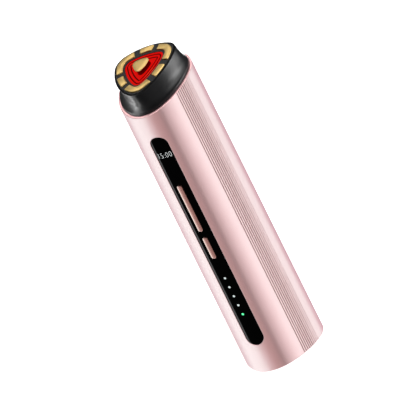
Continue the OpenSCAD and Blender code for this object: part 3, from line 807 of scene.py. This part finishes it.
@dataclass
class Handle(Assembly):
    """The metal shell with its slot, its mouth and its two bands of grooves."""

    low: float = 0.5
    wall: float = 1.3
    edge_r: float = 0.4
    groove_count: int = 10
    groove_pitch: float = 1.2
    groove_w: float = 0.62
    groove_depth: float = 0.2
    groove_start: float = 2.0
    # How many grooves, counted from the panel, get deep and then soft painted shade.
    grooves_deeply_shaded: int = 6
    grooves_softly_shaded: int = 2
    sunk_from: float = 0.2
    sunk_to: float = 1.1
    slot_edge: float = 0.3
    slot_depth: float = 9.0
    inner_bevel: float = 0.1
    skin: float = 0.01
    steps: int = 180
    groove_steps: int = 4
    groove_margin: float = 0.4

    def groove_turns(self) -> list[float]:
        """Returns the grooves' directions, counted from the middle of their side."""
        step = math.degrees(self.groove_pitch / HANDLE.side_r)
        first = -math.degrees(self.groove_start / HANDLE.side_r)
        return [first + step * i for i in range(self.groove_count)]

    def outline(self) -> list[tuple[float, float]]:
        """Lists the directions round the shell, close together in the grooves.

        Returns:
            (direction, depth of the groove there) pairs in order.
        """
        half = math.degrees(self.groove_w / 2 / HANDLE.side_r)
        marks = [(turn, 0.0) for turn in even_turns(self.steps)]
        steps = self.groove_steps
        for side, sign in GROOVED_SIDES:
            centres = [side + sign * turn for turn in self.groove_turns()]
            low = min(centres) - half - self.groove_margin
            high = max(centres) + half + self.groove_margin
            marks = [mark for mark in marks if not low < mark[0] < high]
            for centre in centres:
                for i in range(-steps, steps + 1):
                    depth = self.groove_depth * (1 + math.cos(math.pi * i / steps)) / 2
                    marks.append((centre + half * i / steps, depth))
        return sorted(marks)

    def build(self) -> None:
        """Makes the shell."""
        marks = self.outline()
        edge = rounding(self.edge_r)

        def section(inset: float, grooved: bool) -> list[Vector]:
            """Returns the flat outline at an inset."""
            return [HANDLE.at(t, self.skin + inset + (d if grooved else 0.0)) for t, d in marks]

        def level(height: float, inset: float, grooved: bool = True) -> Ring:
            """Returns a level loop."""
            return [Vector((p.x, p.y, height)) for p in section(inset, grooved)]

        def slanted(rise: float, inset: float, grooved: bool = True) -> Ring:
            """Returns a loop in a plane along the mouth."""
            return [MOUTH.over(p, rise) for p in section(inset, grooved)]

        low, wall, bevel = self.low, self.wall, self.inner_bevel
        rings = [level(low + depth, inset) for inset, depth in reversed(edge)]
        rings += [slanted(-depth, inset) for inset, depth in edge]
        rings += [slanted(0.0, wall - bevel, False), slanted(-bevel, wall, False)]
        rings += [level(low + bevel, wall, False), level(low, wall - bevel, False)]
        form = Form()
        form.loft(rings, closed=True)
        shell = form.finish("handle_shell_skin")
        cutter = Form()
        cutter.loft(Slot.inside("control_panel", PANEL_LIP).cutter(self.slot_edge, self.slot_depth))
        carve(shell, cutter.finish("slot_cutter"))
        self.place(shell, [ROSE, ROSE_DEEP_SHADE, ROSE_SOFT_SHADE], "rose_metal", ["handle_shell"])
        self.paint_groove_shade(shell.data)

    def paint_groove_shade(self, mesh: bpy.types.Mesh) -> None:
        """Paints shade into the grooves: darker rose finishes, fading away from the panel."""
        turns = self.groove_turns()
        # Painted shade: deep in the grooves nearest the panel, soft in the next ones, none beyond.
        slots = [1] * self.grooves_deeply_shaded + [2] * self.grooves_softly_shaded
        slots += [0] * (len(turns) - len(slots))
        for face in mesh.polygons:
            spot = Vector(face.center[:2]) / MM
            for side, sign in GROOVED_SIDES:
                out = spot - polar(-HANDLE.side_back(), side)
                along, across = out.dot(polar(1.0, side)), out.dot(polar(1.0, side + 90))
                turn = sign * math.degrees(math.atan2(across, along))
                depth = HANDLE.side_r - self.skin - out.length
                sunk = self.sunk_from < depth / self.groove_depth < self.sunk_to
                near = min(turns) - 1.0 < turn < max(turns) + 1.0
                upright = abs(face.normal.z) < 0.1
                if sunk and near and upright:
                    nearest = min(range(len(turns)), key=lambda i: abs(turns[i] - turn))
                    face.material_index = slots[nearest]


@dataclass
class Base(Assembly):
    """The lower end: cap, pad, screws and charging inlet."""

    def build(self) -> None:
        """Dresses the solids of the lower end."""
        self.dress(BLACK_SATIN, "base_cap")
        self.dress(RUBBER, "foot_pad")
        self.dress(STEEL, "base_screws", "usb_receptacle")
        self.dress(RESIN, "usb_tongue")


@dataclass
class Panel(Assembly):
    """The black panel in the slot, with its keys, lights and digits."""

    gap: float = 0.05
    edge_r: float = 0.3
    lip_front: float = 1.6
    lip_back: float = 2.8
    ridge_half: float = 0.05
    rows: int = 12
    hole_edge: float = 0.12
    hole_depth: float = 6.0
    hole_front: float = -24.0
    hole_back: float = -15.0
    key_gap: float = 0.12
    key_front: float = -23.0
    key_crown: float = 0.5
    key_bow: float = 0.85
    key_tip: float = 0.02
    key_rows: int = 10
    key_steps: int = 20
    flange_grow: float = 0.8
    flange_front: float = 2.85
    flange_back: float = 3.65
    stem_r: float = 1.0
    stem_end: float = -18.15
    stem_overlap: float = 0.2
    light_count: int = 5
    lens_steps: int = 28
    lens_r: float = 0.65
    lens_crease: float = 50.0
    lens_back: float = -16.95
    lens_front: float = -22.05
    lens_dome: tuple[tuple[float, float], ...] = (
        (1.0, 0.22), (0.9, 0.12), (0.68, 0.04), (0.35, 0.0),
    )
    digits: str = "15:00"
    digits_w: float = 7.1
    digits_h: float = 2.9
    digits_shift: float = 0.4
    digits_proud: float = 0.03

    def build(self) -> None:
        """Makes the panel and what stands in it."""
        lights = self.light_heights()
        self.build_panel(Slot.inside("control_panel", PANEL_LIP), lights)
        for name in ("long_key", "short_key"):
            self.build_key(name)
        self.build_lens("indicator_lens_set", lights[1:], LENS_WHITE, "clear_white",
                        "indicator_lenses")
        self.build_lens("power_lens_dome", lights[:1], LENS_GREEN, "clear_green",
                        "power_lens")
        self.build_digits()
        self.dress(RUBBER, "panel_gasket")
        self.dress(LED_BODY, "indicator_leds")
        self.dress(DISPLAY, "display_module")
        self.dress(IVORY, "long_key_plunger", "short_key_plunger")
        self.dress(SWITCH, "tact_switches")

    def light_heights(self) -> list[float]:
        """Returns the heights of the lights, the lowest first."""
        power_low, power_high = node_box("power_lens")
        _, high = node_box("indicator_lenses")
        first = (power_low.z + power_high.z) / 2
        last = high.z - (power_high.z - power_low.z) / 2
        return [first + (last - first) * i / (self.light_count - 1)
                for i in range(self.light_count)]

    def build_panel(self, slot: Slot, lights: Sequence[float]) -> None:
        """Makes the panel with the openings for the keys and the lights.

        Args:
            slot: The slot that it fills.
            lights: The heights of the lights.
        """
        side = -self.gap
        rings = [
            slot.loop(PANEL_LIP, self.lip_back),
            slot.loop(PANEL_LIP, self.lip_front),
            slot.loop(side, self.lip_front),
        ]
        rings += [slot.loop(side - i, self.gap + d) for i, d in rounding(self.edge_r)]
        start = side - self.edge_r
        inner = slot.width / 2 - self.ridge_half
        rings += [slot.loop(start - (inner + start) * i / self.rows, self.gap)
                  for i in range(1, self.rows + 1)]
        form = Form()
        form.loft(rings)
        panel = form.finish("control_panel_glass")
        cutter = Form()
        for name in ("long_key", "short_key"):
            hole = Slot.inside(name, self.flange_grow).grown(self.key_gap)
            cutter.loft(hole.cutter(self.hole_edge, self.hole_depth))
        for height in lights:
            start = Vector((0.0, self.hole_front, height))
            cutter.rod(self.lens_r + self.gap, start, Vector((0.0, self.hole_back, height)))
        carve(panel, cutter.finish("panel_cutter"))
        self.place(panel, [BLACK_GLASS], "black_gloss", ["control_panel"])

    def build_key(self, name: str) -> None:
        """Makes a key with its crowned cap, its flange and its stem.

        Args:
            name: The CAD node's name.
        """
        shape = Slot.inside(name, self.flange_grow)
        flange = (
            (self.flange_grow, self.flange_back), (self.flange_grow, self.flange_front),
            (0.0, self.flange_front),
        )
        rings = [shape.loop(grow, inset, self.key_steps) for grow, inset in flange]
        for i in range(self.key_rows + 1):
            angle = math.pi / 2 * i / self.key_rows
            across = math.cos(angle) ** self.key_bow if i < self.key_rows else self.key_tip
            y = self.key_front + self.key_crown * (1 - math.sin(angle) ** self.key_bow)
            outline = shape.loop(-shape.width / 2 * (1 - across), 0.0, self.key_steps)
            rings.append([Vector((p.x, y, p.z)) for p in outline])
        form = Form()
        form.loft(rings)
        back = front_y(0.0, self.flange_back) - self.stem_overlap
        start = Vector((0.0, back, shape.middle))
        form.rod(self.stem_r, start, Vector((0.0, self.stem_end, shape.middle)))
        key = form.finish(f"{name}_cap", ROUND_CREASE)
        self.place(key, [ROSE_KEY], "rose_metal", [name], f"{name}_body")

    def build_lens(self, name: str, heights: Sequence[float], finish: Finish, slot: str,
                   node: str) -> None:
        """Makes light pipes with domed fronts.

        Args:
            name: The piece's name.
            heights: The height of each.
            finish: Their finish.
            slot: The record's material slot.
            node: The CAD node that they stand for.
        """
        form = Form()
        profile = [(1.0, self.lens_back)]
        profile += [(share, self.lens_front + depth) for share, depth in self.lens_dome]
        for height in heights:
            form.loft([
                [Vector((p.x, y, p.y + height)) for p in
                 (polar(self.lens_r * share, 360 * i / self.lens_steps)
                  for i in range(self.lens_steps))]
                for share, y in profile
            ])
        self.place(form.finish(name, self.lens_crease), [finish], slot, [node])

    def build_digits(self) -> None:
        """Makes the lit digits, which follow the panel's surface."""
        text = bpy.data.curves.new("digits", "FONT")
        text.body = self.digits
        text.align_x = "CENTER"
        text.resolution_u = 6
        text.extrude = 0.01
        text.offset = -0.022
        text.space_character = 1.15
        maker = bpy.data.objects.new("digits_maker", text)
        bpy.context.scene.collection.objects.link(maker)
        graph = bpy.context.evaluated_depsgraph_get()
        mesh = bpy.data.meshes.new_from_object(maker.evaluated_get(graph))
        bpy.data.objects.remove(maker)
        form = Form()
        form.bm.from_mesh(mesh)
        low, high = node_box("display_module")
        middle = (low.z + high.z) / 2
        xs = [v.co.x for v in form.bm.verts]
        ys = [v.co.y for v in form.bm.verts]
        for vert in form.bm.verts:
            x = ((vert.co.x - min(xs)) / (max(xs) - min(xs)) - 0.5) * self.digits_w
            x += self.digits_shift
            z = ((vert.co.y - min(ys)) / (max(ys) - min(ys)) - 0.5) * self.digits_h
            proud = self.digits_proud if vert.co.z > 0 else 0.0
            vert.co = Vector((x, front_y(x, self.gap) - proud, z + middle))
        self.place(form.finish("display_digits"), [DIGIT], "display_white")


@dataclass
class Head(Assembly):
    """The slanted head: collar, shroud, face plate, electrodes and window."""

    steps: int = 180
    inset: float = 1.35
    collar_rise: float = 0.9
    collar_depth: float = 6.0
    collar_t: float = 1.5
    edge_h: float = 0.5
    soft_edge: float = 0.15
    flare_steps: int = 28
    flare_ease: float = 1.6
    flare_reach: float = 0.9
    flare_start: float = 0.03
    flare_power: float = 5.4
    rim_h: float = 11.8
    rim_t: float = 0.9
    rim_r: float = 0.4
    plate_low: float = 10.2
    seat_w: float = 1.1
    seat_h: float = 1.0
    seat_blend: float = 0.98
    lining_drop: float = 1.4
    electrode_band: float = 3.8
    electrode_step: float = 1.2
    electrode_low: float = 11.6
    electrode_top: float = 12.7
    electrode_round: float = 0.6
    electrode_crown: float = 0.6
    spoke_w: float = 3.1
    spoke_offset: float = 5.45
    spoke_turn: float = 13.0
    window_low: float = 9.6
    window_top: float = 11.7
    window_flange: float = 0.8
    window_round: float = 0.2
    lines: tuple[float, ...] = (1.5, 3.4)
    line_w: float = 0.55
    line_depth: float = 0.3
    line_lip: float = 0.1
    line_bevel: float = 0.06
    centre_low: float = 13.8
    centre_top: float = 14.5
    centre_round: float = 0.35
    centre_crown: float = 0.12
    centre_rows: tuple[float, ...] = (0.3, 0.55, 0.8, 0.97)
    centre_gap: float = 0.12

    def build(self) -> None:
        """Makes every piece of the head."""
        self.build_collar()
        self.build_shroud()
        self.dress(BLACK_SATIN, "face_plate")
        for number, name in enumerate(("front", "right", "left")):
            corner = corner_dir(number)
            self.build_electrode(f"corner_electrode_{name}", (corner - 60.0, 1),
                                 (corner + 60.0, -1))
        for number, name in enumerate(("right", "back", "left")):
            side = corner_dir(number) + 60.0
            self.build_electrode(f"side_electrode_{name}", (side, -1), (side, 1))
        self.build_centre()
        self.build_window()
        self.dress(RED_POST, "centre_pedestal")
        self.dress(GOLD, "electrode_pins")
        self.dress(SENSOR, "temperature_sensor")
        self.dress(BOARD, "light_board")
        self.dress(LED_RED, "red_leds")
        self.dress(MOULDED, "head_frame")
        self.dress(STEEL, "head_screws")
        self.dress(AMBER, "head_ribbon")

    def build_collar(self) -> None:
        """Makes the ring between the handle and the shroud."""
        turns = even_turns(self.steps)

        def ring(rise: float, inset: float) -> Ring:
            """Returns a loop along the mouth's plane."""
            return [MOUTH.over(HANDLE.at(t, self.inset + inset), rise) for t in turns]

        rings = [ring(-self.collar_depth, 0.0)]
        rings += [ring(self.collar_rise - depth, inset)
                  for inset, depth in rounding(self.soft_edge)]
        rings += [ring(self.collar_rise, self.collar_t), ring(-self.collar_depth, self.collar_t)]
        form = Form()
        form.loft(rings, closed=True)
        self.place(form.finish("collar_ring_skin"), [BLACK_GLOSS], "black_gloss", ["collar_ring"])

    def shroud_ring(self, rise: float, blend: float, inset: float) -> Ring:
        """Draws a loop between the mouth's outline and the face's.

        Args:
            rise: Its height over the mouth.
            blend: 0 at the mouth's outline, 1 at the face's.
            inset: How far inside both it lies.

        Returns:
            The loop's places.
        """
        loop = []
        for turn in even_turns(self.steps):
            low = MOUTH.over(HANDLE.at(turn, self.inset + inset), rise)
            high = MOUTH.on_face(FACE.at(turn, inset), rise)
            loop.append(low.lerp(high, blend))
        return loop

    def build_shroud(self) -> None:
        """Makes the shroud with its flare and its seat for the face plate."""
        low = self.collar_rise + self.edge_h
        flare = []
        for i in range(self.flare_steps + 1):
            x = (i / self.flare_steps) ** self.flare_ease * self.flare_reach
            blend = 1 - (1 - self.flare_start) * (1 - x) ** self.flare_power
            flare.append((low + x * (self.rim_h - low), blend))
        inner = self.rim_t + self.seat_w
        rings = [self.shroud_ring(self.collar_rise + depth, 0.0, inset)
                 for inset, depth in reversed(rounding(self.soft_edge))]
        rings += [self.shroud_ring(rise, blend, 0.0) for rise, blend in flare]
        rings += [self.shroud_ring(self.rim_h - depth, 1.0, inset)
                  for inset, depth in rounding(self.rim_r)]
        rings += [
            self.shroud_ring(self.rim_h, 1.0, self.rim_t),
            self.shroud_ring(self.plate_low, 1.0, self.rim_t),
            self.shroud_ring(self.plate_low, 1.0, inner),
            self.shroud_ring(self.plate_low - self.seat_h, self.seat_blend, inner),
        ]
        rings += [self.shroud_ring(rise, blend, self.collar_t) for rise, blend in reversed(flare)
                  if rise < self.plate_low - self.lining_drop]
        rings.append(self.shroud_ring(self.collar_rise, 0.0, self.collar_t))
        form = Form()
        form.loft(rings, closed=True)
        self.place(form.finish("head_shroud_skin"), [BLACK_GLOSS], "black_gloss", ["head_shroud"])

    def spoke_edge(self, side: float, sign: int, inner: int) -> tuple[Vector, float]:
        """Finds the line that bounds an electrode along a bare strip.

        Args:
            side: The direction of the side that the strip crosses.
            sign: Which of that side's two strips it is.
            inner: Which edge of the strip is meant.

        Returns:
            The line's unit normal and its distance from the middle along that normal.
        """
        turn = Matrix.Rotation(math.radians(side), 2)
        reach = BAND.side_r - BAND.side_back() - self.electrode_band / 2
        centre = turn @ Vector((reach, sign * self.spoke_offset))
        normal = polar(1.0, side + sign * self.spoke_turn + 90.0)
        return normal, centre.dot(normal) + inner * self.spoke_w / 2

    def crossing(self, line: tuple[Vector, float], side: float, inset: float) -> float:
        """Finds where the band's outline crosses a strip's edge.

        Args:
            line: The edge's normal and distance.
            side: The direction of its side.
            inset: How far inside the outline.

        Returns:
            The direction that the outline faces there.
        """
        low, high = side - 60.0, side + 60.0
        for _ in range(40):
            middle = (low + high) / 2
            if BAND.at(middle, inset).dot(line[0]) < line[1]:
                low = middle
            else:
                high = middle
        return (low + high) / 2

    def build_electrode(self, name: str, first: tuple[float, int],
                        last: tuple[float, int]) -> None:
        """Makes an outer electrode with rounded corners and a crowned edge.

        Args:
            name: The CAD node's name.
            first: The side and the number of the strip where it starts.
            last: The side and the number of the strip where it ends.
        """
        lines = ((self.spoke_edge(*first, 1), first[0]), (self.spoke_edge(*last, -1), last[0]))
        places = []
        corners = []
        for inset, back in ((0.0, False), (self.electrode_band, True)):
            ends = [self.crossing(line, side, inset) for line, side in lines]
            length = math.radians(ends[1] - ends[0]) * BAND.side_r
            count = max(5, round(length / self.electrode_step))
            run = [ends[0] + (ends[1] - ends[0]) * (i / count) for i in range(count + 1)]
            if back:
                run.reverse()
            corners += [len(places), len(places) + count]
            places += [BAND.at(turn, inset) for turn in run]
        form = Form()
        ring = form.loop([Vector((p.x, p.y, self.electrode_low)) for p in places])
        form.cap(ring)
        bmesh.ops.bevel(
            form.bm, geom=[ring[i] for i in corners], affect="VERTICES", segments=5, profile=0.5,
            material=-1, offset=self.electrode_round, offset_type="OFFSET", clamp_overlap=True,
        )
        made = bmesh.ops.extrude_face_region(form.bm, geom=list(form.bm.faces))
        tops = [v for v in made["geom"] if isinstance(v, bmesh.types.BMVert)]
        rise = self.electrode_top - self.electrode_low
        bmesh.ops.translate(form.bm, vec=(0, 0, rise), verts=tops)
        bmesh.ops.holes_fill(form.bm, edges=form.bm.edges)
        bmesh.ops.recalc_face_normals(form.bm, faces=form.bm.faces)
        rim = [e for e in form.bm.edges
               if all(v in tops for v in e.verts) and len(e.link_faces) == 2]
        bmesh.ops.bevel(
            form.bm, geom=rim, affect="EDGES", segments=4, profile=0.5, material=-1,
            offset=self.electrode_crown, offset_type="OFFSET", clamp_overlap=True,
        )
        bmesh.ops.transform(form.bm, matrix=MOUTH.face_frame(), verts=form.bm.verts)
        pad = form.finish(f"{name}_pad", ROUND_CREASE, False)
        self.place(pad, [GOLD], "gold_plate", [name])

    def face_ring(self, section: Section, rise: float, inset: float = 0.0) -> Ring:
        """Returns a loop of an outline on the face, at a height over the mouth."""
        return [MOUTH.on_face(section.at(t, inset), rise) for t in even_turns(self.steps)]

    def build_centre(self) -> None:
        """Makes the middle electrode, crowned on top."""
        rings = [self.face_ring(CENTRE, self.centre_low)]
        edge, crown = self.centre_round, self.centre_crown
        for inset, depth in rounding(edge):
            rings.append(self.face_ring(CENTRE, self.centre_top - crown - depth, inset))
        for share in self.centre_rows:
            inset = edge + (CENTRE.corner_r - edge) * share
            rise = self.centre_top - crown * (1 - share) ** 2
            rings.append(self.face_ring(CENTRE, rise, inset))
        form = Form()
        form.loft(rings)
        pad = form.finish("centre_electrode_pad", ROUND_CREASE, False)
        self.place(pad, [GOLD], "gold_plate", ["centre_electrode"])

    def build_window(self) -> None:
        """Makes the red window, with two grooves round the middle electrode that carry painted
        shade.
        """
        top, floor = self.window_top, self.window_top - self.line_depth
        rings = [
            self.face_ring(WINDOW, self.window_low, -self.window_flange),
            self.face_ring(WINDOW, self.plate_low, -self.window_flange),
            self.face_ring(WINDOW, self.plate_low),
        ]
        rings += [self.face_ring(WINDOW, top - depth, inset)
                  for inset, depth in rounding(self.window_round)]
        lip, bevel = self.line_lip, self.line_bevel
        dark = []
        for line in self.lines:
            start, end = line - self.line_w / 2, line + self.line_w / 2
            dark.append(len(rings) + 1)
            groove = (
                (top, start - lip), (top - bevel, start), (floor, start + bevel),
                (floor, end - bevel), (top - bevel, end), (top, end + lip),
            )
            rings += [self.face_ring(WINDOW, rise, inset) for rise, inset in groove]
        rings += [self.face_ring(CENTRE, rise, -self.centre_gap)
                  for rise in (top, self.window_low)]
        form = Form()
        made = form.loft(rings, closed=True)
        # The faces inside the grooves get the painted shade.
        for start in dark:
            for i in range(start, start + 3):
                pair = set(made[i]) | set(made[i + 1])
                for face in {f for v in made[i] for f in v.link_faces if set(f.verts) <= pair}:
                    face.material_index = 1
        self.place(form.finish("red_window_plate"), [RED_WINDOW, RED_GROOVE_SHADE], "red_clear",
                   ["red_window"])


@dataclass
class Inside(Assembly):
    """What the shell hides."""

    def build(self) -> None:
        """Dresses the hidden solids."""
        self.dress(MOULDED, "chassis", "motor_holder")
        self.dress(STEEL, "board_screws", "battery_tabs", "shield_can", "motor_can", "motor_shaft")
        self.dress(BOARD, "charge_board", "main_board", "rf_board")
        self.dress(AMBER, "charge_ribbon")
        self.dress(CELL_WRAP, "battery_cell")
        self.dress(RUBBER, "cell_ring")
        self.dress(RESIN, "main_chips")
        self.dress(FERRITE, "rf_transformer")
        self.dress(CAPACITOR, "rf_capacitors")
        self.dress(ALLOY, "motor_weight")


# ---- Studio ----


WHITE = (1.0, 1.0, 1.0)
COOL = (0.73, 1.0, 0.98)
ROSY = (1.0, 0.74, 0.87)
PEACH = (1.0, 0.78, 0.74)
BLUSH = (1.0, 0.92, 0.92)
WARM = (1.0, 0.89, 0.64)


@dataclass(frozen=True)
class Card:
    """A soft light card that faces the device.

    Attributes:
        middle: The direction of its middle, to the right of the camera.
        glow: The radiance of its strongest colour.
        width: The angle that it spans.
        low: The elevation of its lower edge.
        high: The elevation of its upper edge.
        tint: The colour of its light.
        strips: The number of flat strips that bend it round the device.
    """

    middle: float
    glow: float
    width: float = 20.0
    low: float = -45.0
    high: float = 15.0
    tint: Rgb = WHITE
    strips: int = 1

    def split(self) -> list["Card"]:
        """Returns the card's flat strips."""
        span = self.width / self.strips
        first = self.middle - (self.width - span) / 2
        return [replace(self, middle=first + span * i, width=span, strips=1)
                for i in range(self.strips)]


@dataclass(frozen=True)
class Rig:
    """The cards that light one group of pieces.

    Attributes:
        name: The group's name.
        cards: Its cards.
    """

    name: str
    cards: tuple[Card, ...]


def wide_pair(glow: float, low: float, high: float) -> tuple[Card, ...]:
    """Returns two wide cards at the same height, in front and behind."""
    return tuple(Card(turn, glow, 120.0, low, high, BLUSH) for turn in (0.0, 180.0))


ABOVE = wide_pair(3.0, 45.0, 85.0)
BELOW = wide_pair(0.75, -85.0, -50.0)
SHELL_RIG = Rig("shell", (
    Card(-100.0, 1.55, 80.0, tint=COOL, strips=4),
    Card(-50.0, 0.75),
    Card(-20.0, 0.45, 40.0, tint=PEACH, strips=2),
    Card(30.0, 1.1),
    Card(50.0, 2.2, tint=COOL),
    Card(70.0, 0.45, tint=PEACH),
    Card(100.0, 1.6, 40.0, tint=COOL, strips=2),
    Card(170.0, 0.62, 100.0, tint=ROSY, strips=5),
    *ABOVE,
    *BELOW,
))
KEY_RIG = Rig("keys", (
    Card(-130.0, 1.65, 100.0, tint=COOL, strips=5),
    Card(-70.0, 0.75),
    Card(0.0, 0.33, 120.0, tint=PEACH, strips=6),
    Card(90.0, 0.55, 60.0, tint=PEACH, strips=3),
    Card(150.0, 0.8, 60.0, strips=3),
    *BELOW,
))
SHROUD_RIG = Rig("shroud", (
    Card(-130.0, 4.5, 20.0, -45.0, -15.0),
    Card(-110.0, 8.0, 20.0, -15.0, 15.0),
    Card(-110.0, 4.0, 20.0, 15.0, 45.0),
    Card(-90.0, 3.0, 20.0, -45.0, 45.0),
    Card(-105.0, 0.7, 30.0, 45.0, 75.0),
    Card(90.0, 6.5, 20.0, -45.0, -15.0),
    Card(70.0, 10.0, 20.0, -15.0, 15.0),
    Card(60.0, 2.8, 40.0, 15.0, 45.0, strips=2),
    Card(-20.0, 0.1, 120.0),
    Card(170.0, 5.0),
))
PANEL_RIG = Rig("panel", (
    Card(-88.0, 1.7, 8.0),
))
GOLD_RIG = Rig("gold", (
    Card(-160.0, 0.34, 80.0, 0.0, 38.0, WARM),
    Card(-150.0, 1.3, 80.0, 42.0, 75.0, WARM),
    Card(75.0, 2.0, 90.0, -45.0, 45.0, WARM),
    Card(-15.0, 0.1, 90.0, -45.0, 45.0, WARM),
    Card(140.0, 0.7, 40.0, 15.0, 75.0, WARM),
    Card(0.0, 1.5, 120.0, 45.0, 75.0, WARM),
))
PLATE_RIG = Rig("plate", (
    Card(-165.0, 2.6, 30.0, 45.0, 75.0),
    Card(45.0, 2.1, 30.0, 15.0, 45.0),
    Card(-45.0, 2.1, 30.0, 15.0, 45.0),
))
WINDOW_RIG = Rig("window", (
    Card(-165.0, 0.15),
    Card(90.0, 0.35),
))


@dataclass
class Studio:
    """The floor, the lights and the camera."""

    azimuth: float = 29.2
    elevation: float = 26.36
    roll: float = 26.33
    view_width: float = 0.2038
    aim_height: float = 0.0861
    aim_side: float = -0.00289
    camera_distance: float = 1.5
    card_distance: float = 1.2
    card_aim: float = 0.088
    floor_half: float = 3000.0
    floor_light_size: float = 10.0
    floor_light_height: float = 1.8
    floor_glow: float = 2.4

    def axes(self) -> tuple[Vector, Vector, Vector]:
        """Returns the camera's right, up and backward directions."""
        a, e, r = (math.radians(v) for v in (self.azimuth, self.elevation, self.roll))
        right = Vector((math.cos(a), math.sin(a), 0.0))
        up = Vector((-math.sin(a) * math.sin(e), math.cos(a) * math.sin(e), math.cos(e)))
        back = Vector((math.sin(a) * math.cos(e), -math.cos(a) * math.cos(e), math.sin(e)))
        return right * math.cos(r) - up * math.sin(r), right * math.sin(r) + up * math.cos(r), back

    def build_camera(self) -> None:
        """Makes the camera."""
        across, up, back = self.axes()
        aim = Vector((*polar(self.aim_side, self.azimuth), self.aim_height))
        data = bpy.data.cameras.new("camera")
        data.type = "ORTHO"
        data.ortho_scale = self.view_width
        data.clip_start = 0.05
        data.clip_end = 20.0
        camera = bpy.data.objects.new("camera", data)
        facing = Matrix((across, up, back)).transposed().to_4x4()
        camera.matrix_world = Matrix.Translation(aim + back * self.camera_distance) @ facing
        bpy.context.scene.collection.objects.link(camera)
        bpy.context.scene.camera = camera

    def light(self, name: str, size: tuple[float, float], glow: float, place: Vector,
              aim: Vector, group: bpy.types.Collection) -> bpy.types.Object:
        """Makes a soft rectangular light.

        Args:
            name: Its name.
            size: Its width and height in metres.
            glow: Its radiance.
            place: Where it stands.
            aim: The point that it faces.
            group: The pieces that it shines on.

        Returns:
            The light.
        """
        data = bpy.data.lights.new(name, "AREA")
        data.shape = "RECTANGLE"
        data.size, data.size_y = size
        data.energy = glow * math.pi * size[0] * size[1]
        lamp = bpy.data.objects.new(name, data)
        turn = (place - aim).to_track_quat("Z", "Y").to_matrix().to_4x4()
        lamp.matrix_world = Matrix.Translation(place) @ turn
        lamp.visible_camera = False
        bpy.context.scene.collection.objects.link(lamp)
        lamp.light_linking.receiver_collection = group
        return lamp

    @staticmethod
    def gather(name: str, pieces: Iterable[bpy.types.Object]) -> bpy.types.Collection:
        """Returns a collection of the pieces that one group of lights shines on."""
        group = bpy.data.collections.new(f"{name}_receivers")
        for piece in pieces:
            group.objects.link(piece)
        return group

    def hang(self, rig: Rig, receivers: Iterable[bpy.types.Object]) -> None:
        """Hangs the cards of a group round the device.

        Args:
            rig: The group's cards.
            receivers: The pieces that they light.
        """
        aim = Vector((0.0, 0.0, self.card_aim))
        group = self.gather(rig.name, receivers)
        for number, card in enumerate(strip for card in rig.cards for strip in card.split()):
            turn = math.radians(self.azimuth - 90.0 + card.middle)
            rise = math.radians((card.low + card.high) / 2)
            level = Vector((math.cos(turn), math.sin(turn), 0.0)) * math.cos(rise)
            place = aim + (level + Vector((0.0, 0.0, math.sin(rise)))) * self.card_distance
            width = 2 * self.card_distance * math.cos(rise) * math.tan(math.radians(card.width / 2))
            height = 2 * self.card_distance * math.tan(math.radians((card.high - card.low) / 2))
            name = f"{rig.name}_card_{number}"
            lamp = self.light(name, (width, height), card.glow, place, aim, group)
            lamp.data.color = card.tint

    def build_floor(self) -> None:
        """Makes the plain pale floor."""
        form = Form()
        bmesh.ops.create_grid(form.bm, x_segments=8, y_segments=8, size=self.floor_half)
        floor = form.finish("floor")
        floor.data.materials.append(PALE_FLOOR.make())
        floor.visible_glossy = False
        floor.visible_diffuse = False
        floor.visible_shadow = False
        above = Vector((0.0, 0.0, self.floor_light_height))
        size = (self.floor_light_size, self.floor_light_size)
        lamp = self.light("floor_light", size, self.floor_glow, above, Vector(),
                          self.gather("floor", [floor]))
        lamp.data.use_shadow = False

    def build_world(self) -> None:
        """Makes the pale surroundings, which stay dim in reflections."""
        world = bpy.data.worlds.new("studio")
        world.use_nodes = True
        nodes, links = world.node_tree.nodes, world.node_tree.links
        nodes.clear()
        ray = nodes.new("ShaderNodeLightPath")
        pale = nodes.new("ShaderNodeBackground")
        pale.inputs["Color"].default_value = (1.0, 1.0, 1.0, 1.0)
        dim = nodes.new("ShaderNodeBackground")
        dim.inputs["Color"].default_value = (0.02, 0.02, 0.02, 1.0)
        mix = nodes.new("ShaderNodeMixShader")
        out = nodes.new("ShaderNodeOutputWorld")
        links.new(ray.outputs["Is Camera Ray"], mix.inputs[0])
        links.new(dim.outputs[0], mix.inputs[1])
        links.new(pale.outputs[0], mix.inputs[2])
        links.new(mix.outputs[0], out.inputs["Surface"])
        bpy.context.scene.world = world

    def build(self, groups: Sequence[tuple[Rig, Iterable[bpy.types.Object]]]) -> None:
        """Makes the whole studio.

        Args:
            groups: Each group's cards and the pieces that they light.
        """
        self.build_camera()
        self.build_floor()
        self.build_world()
        for rig, receivers in groups:
            self.hang(rig, receivers)
        view = bpy.context.scene.view_settings
        view.view_transform = "Standard"
        view.look = "None"


def main() -> None:
    """Builds the device and its studio."""
    logging.basicConfig(level=logging.INFO, format="%(name)s: %(message)s")
    handle, base, panel, head, inside = Handle(), Base(), Panel(), Head(), Inside()
    for part in (handle, base, panel, head, inside):
        part.build()
        log.info("%s: %d pieces", type(part).__name__, len(part.pieces))
    keys = [p for p in panel.pieces if p.name.endswith("key_cap")]
    glass = [p for p in panel.pieces if p.name == "control_panel_glass"]
    black = [p for p in head.pieces if p.name in ("collar_ring_skin", "head_shroud_skin")]
    gold = [p for p in head.pieces if p.name.endswith("electrode_pad") or "_electrode_" in p.name]
    rest = [p for part in (handle, base, panel, inside) for p in part.pieces
            if p not in keys and p not in glass]
    window = [p for p in head.pieces if p.name in ("red_window_plate", "centre_pedestal")]
    face = [p for p in head.pieces if p not in black + gold + window]
    Studio().build((
        (SHELL_RIG, rest), (KEY_RIG, keys), (PANEL_RIG, glass), (SHROUD_RIG, black),
        (GOLD_RIG, gold), (PLATE_RIG, face), (WINDOW_RIG, window),
    ))


if __name__ == "__main__":
    main()
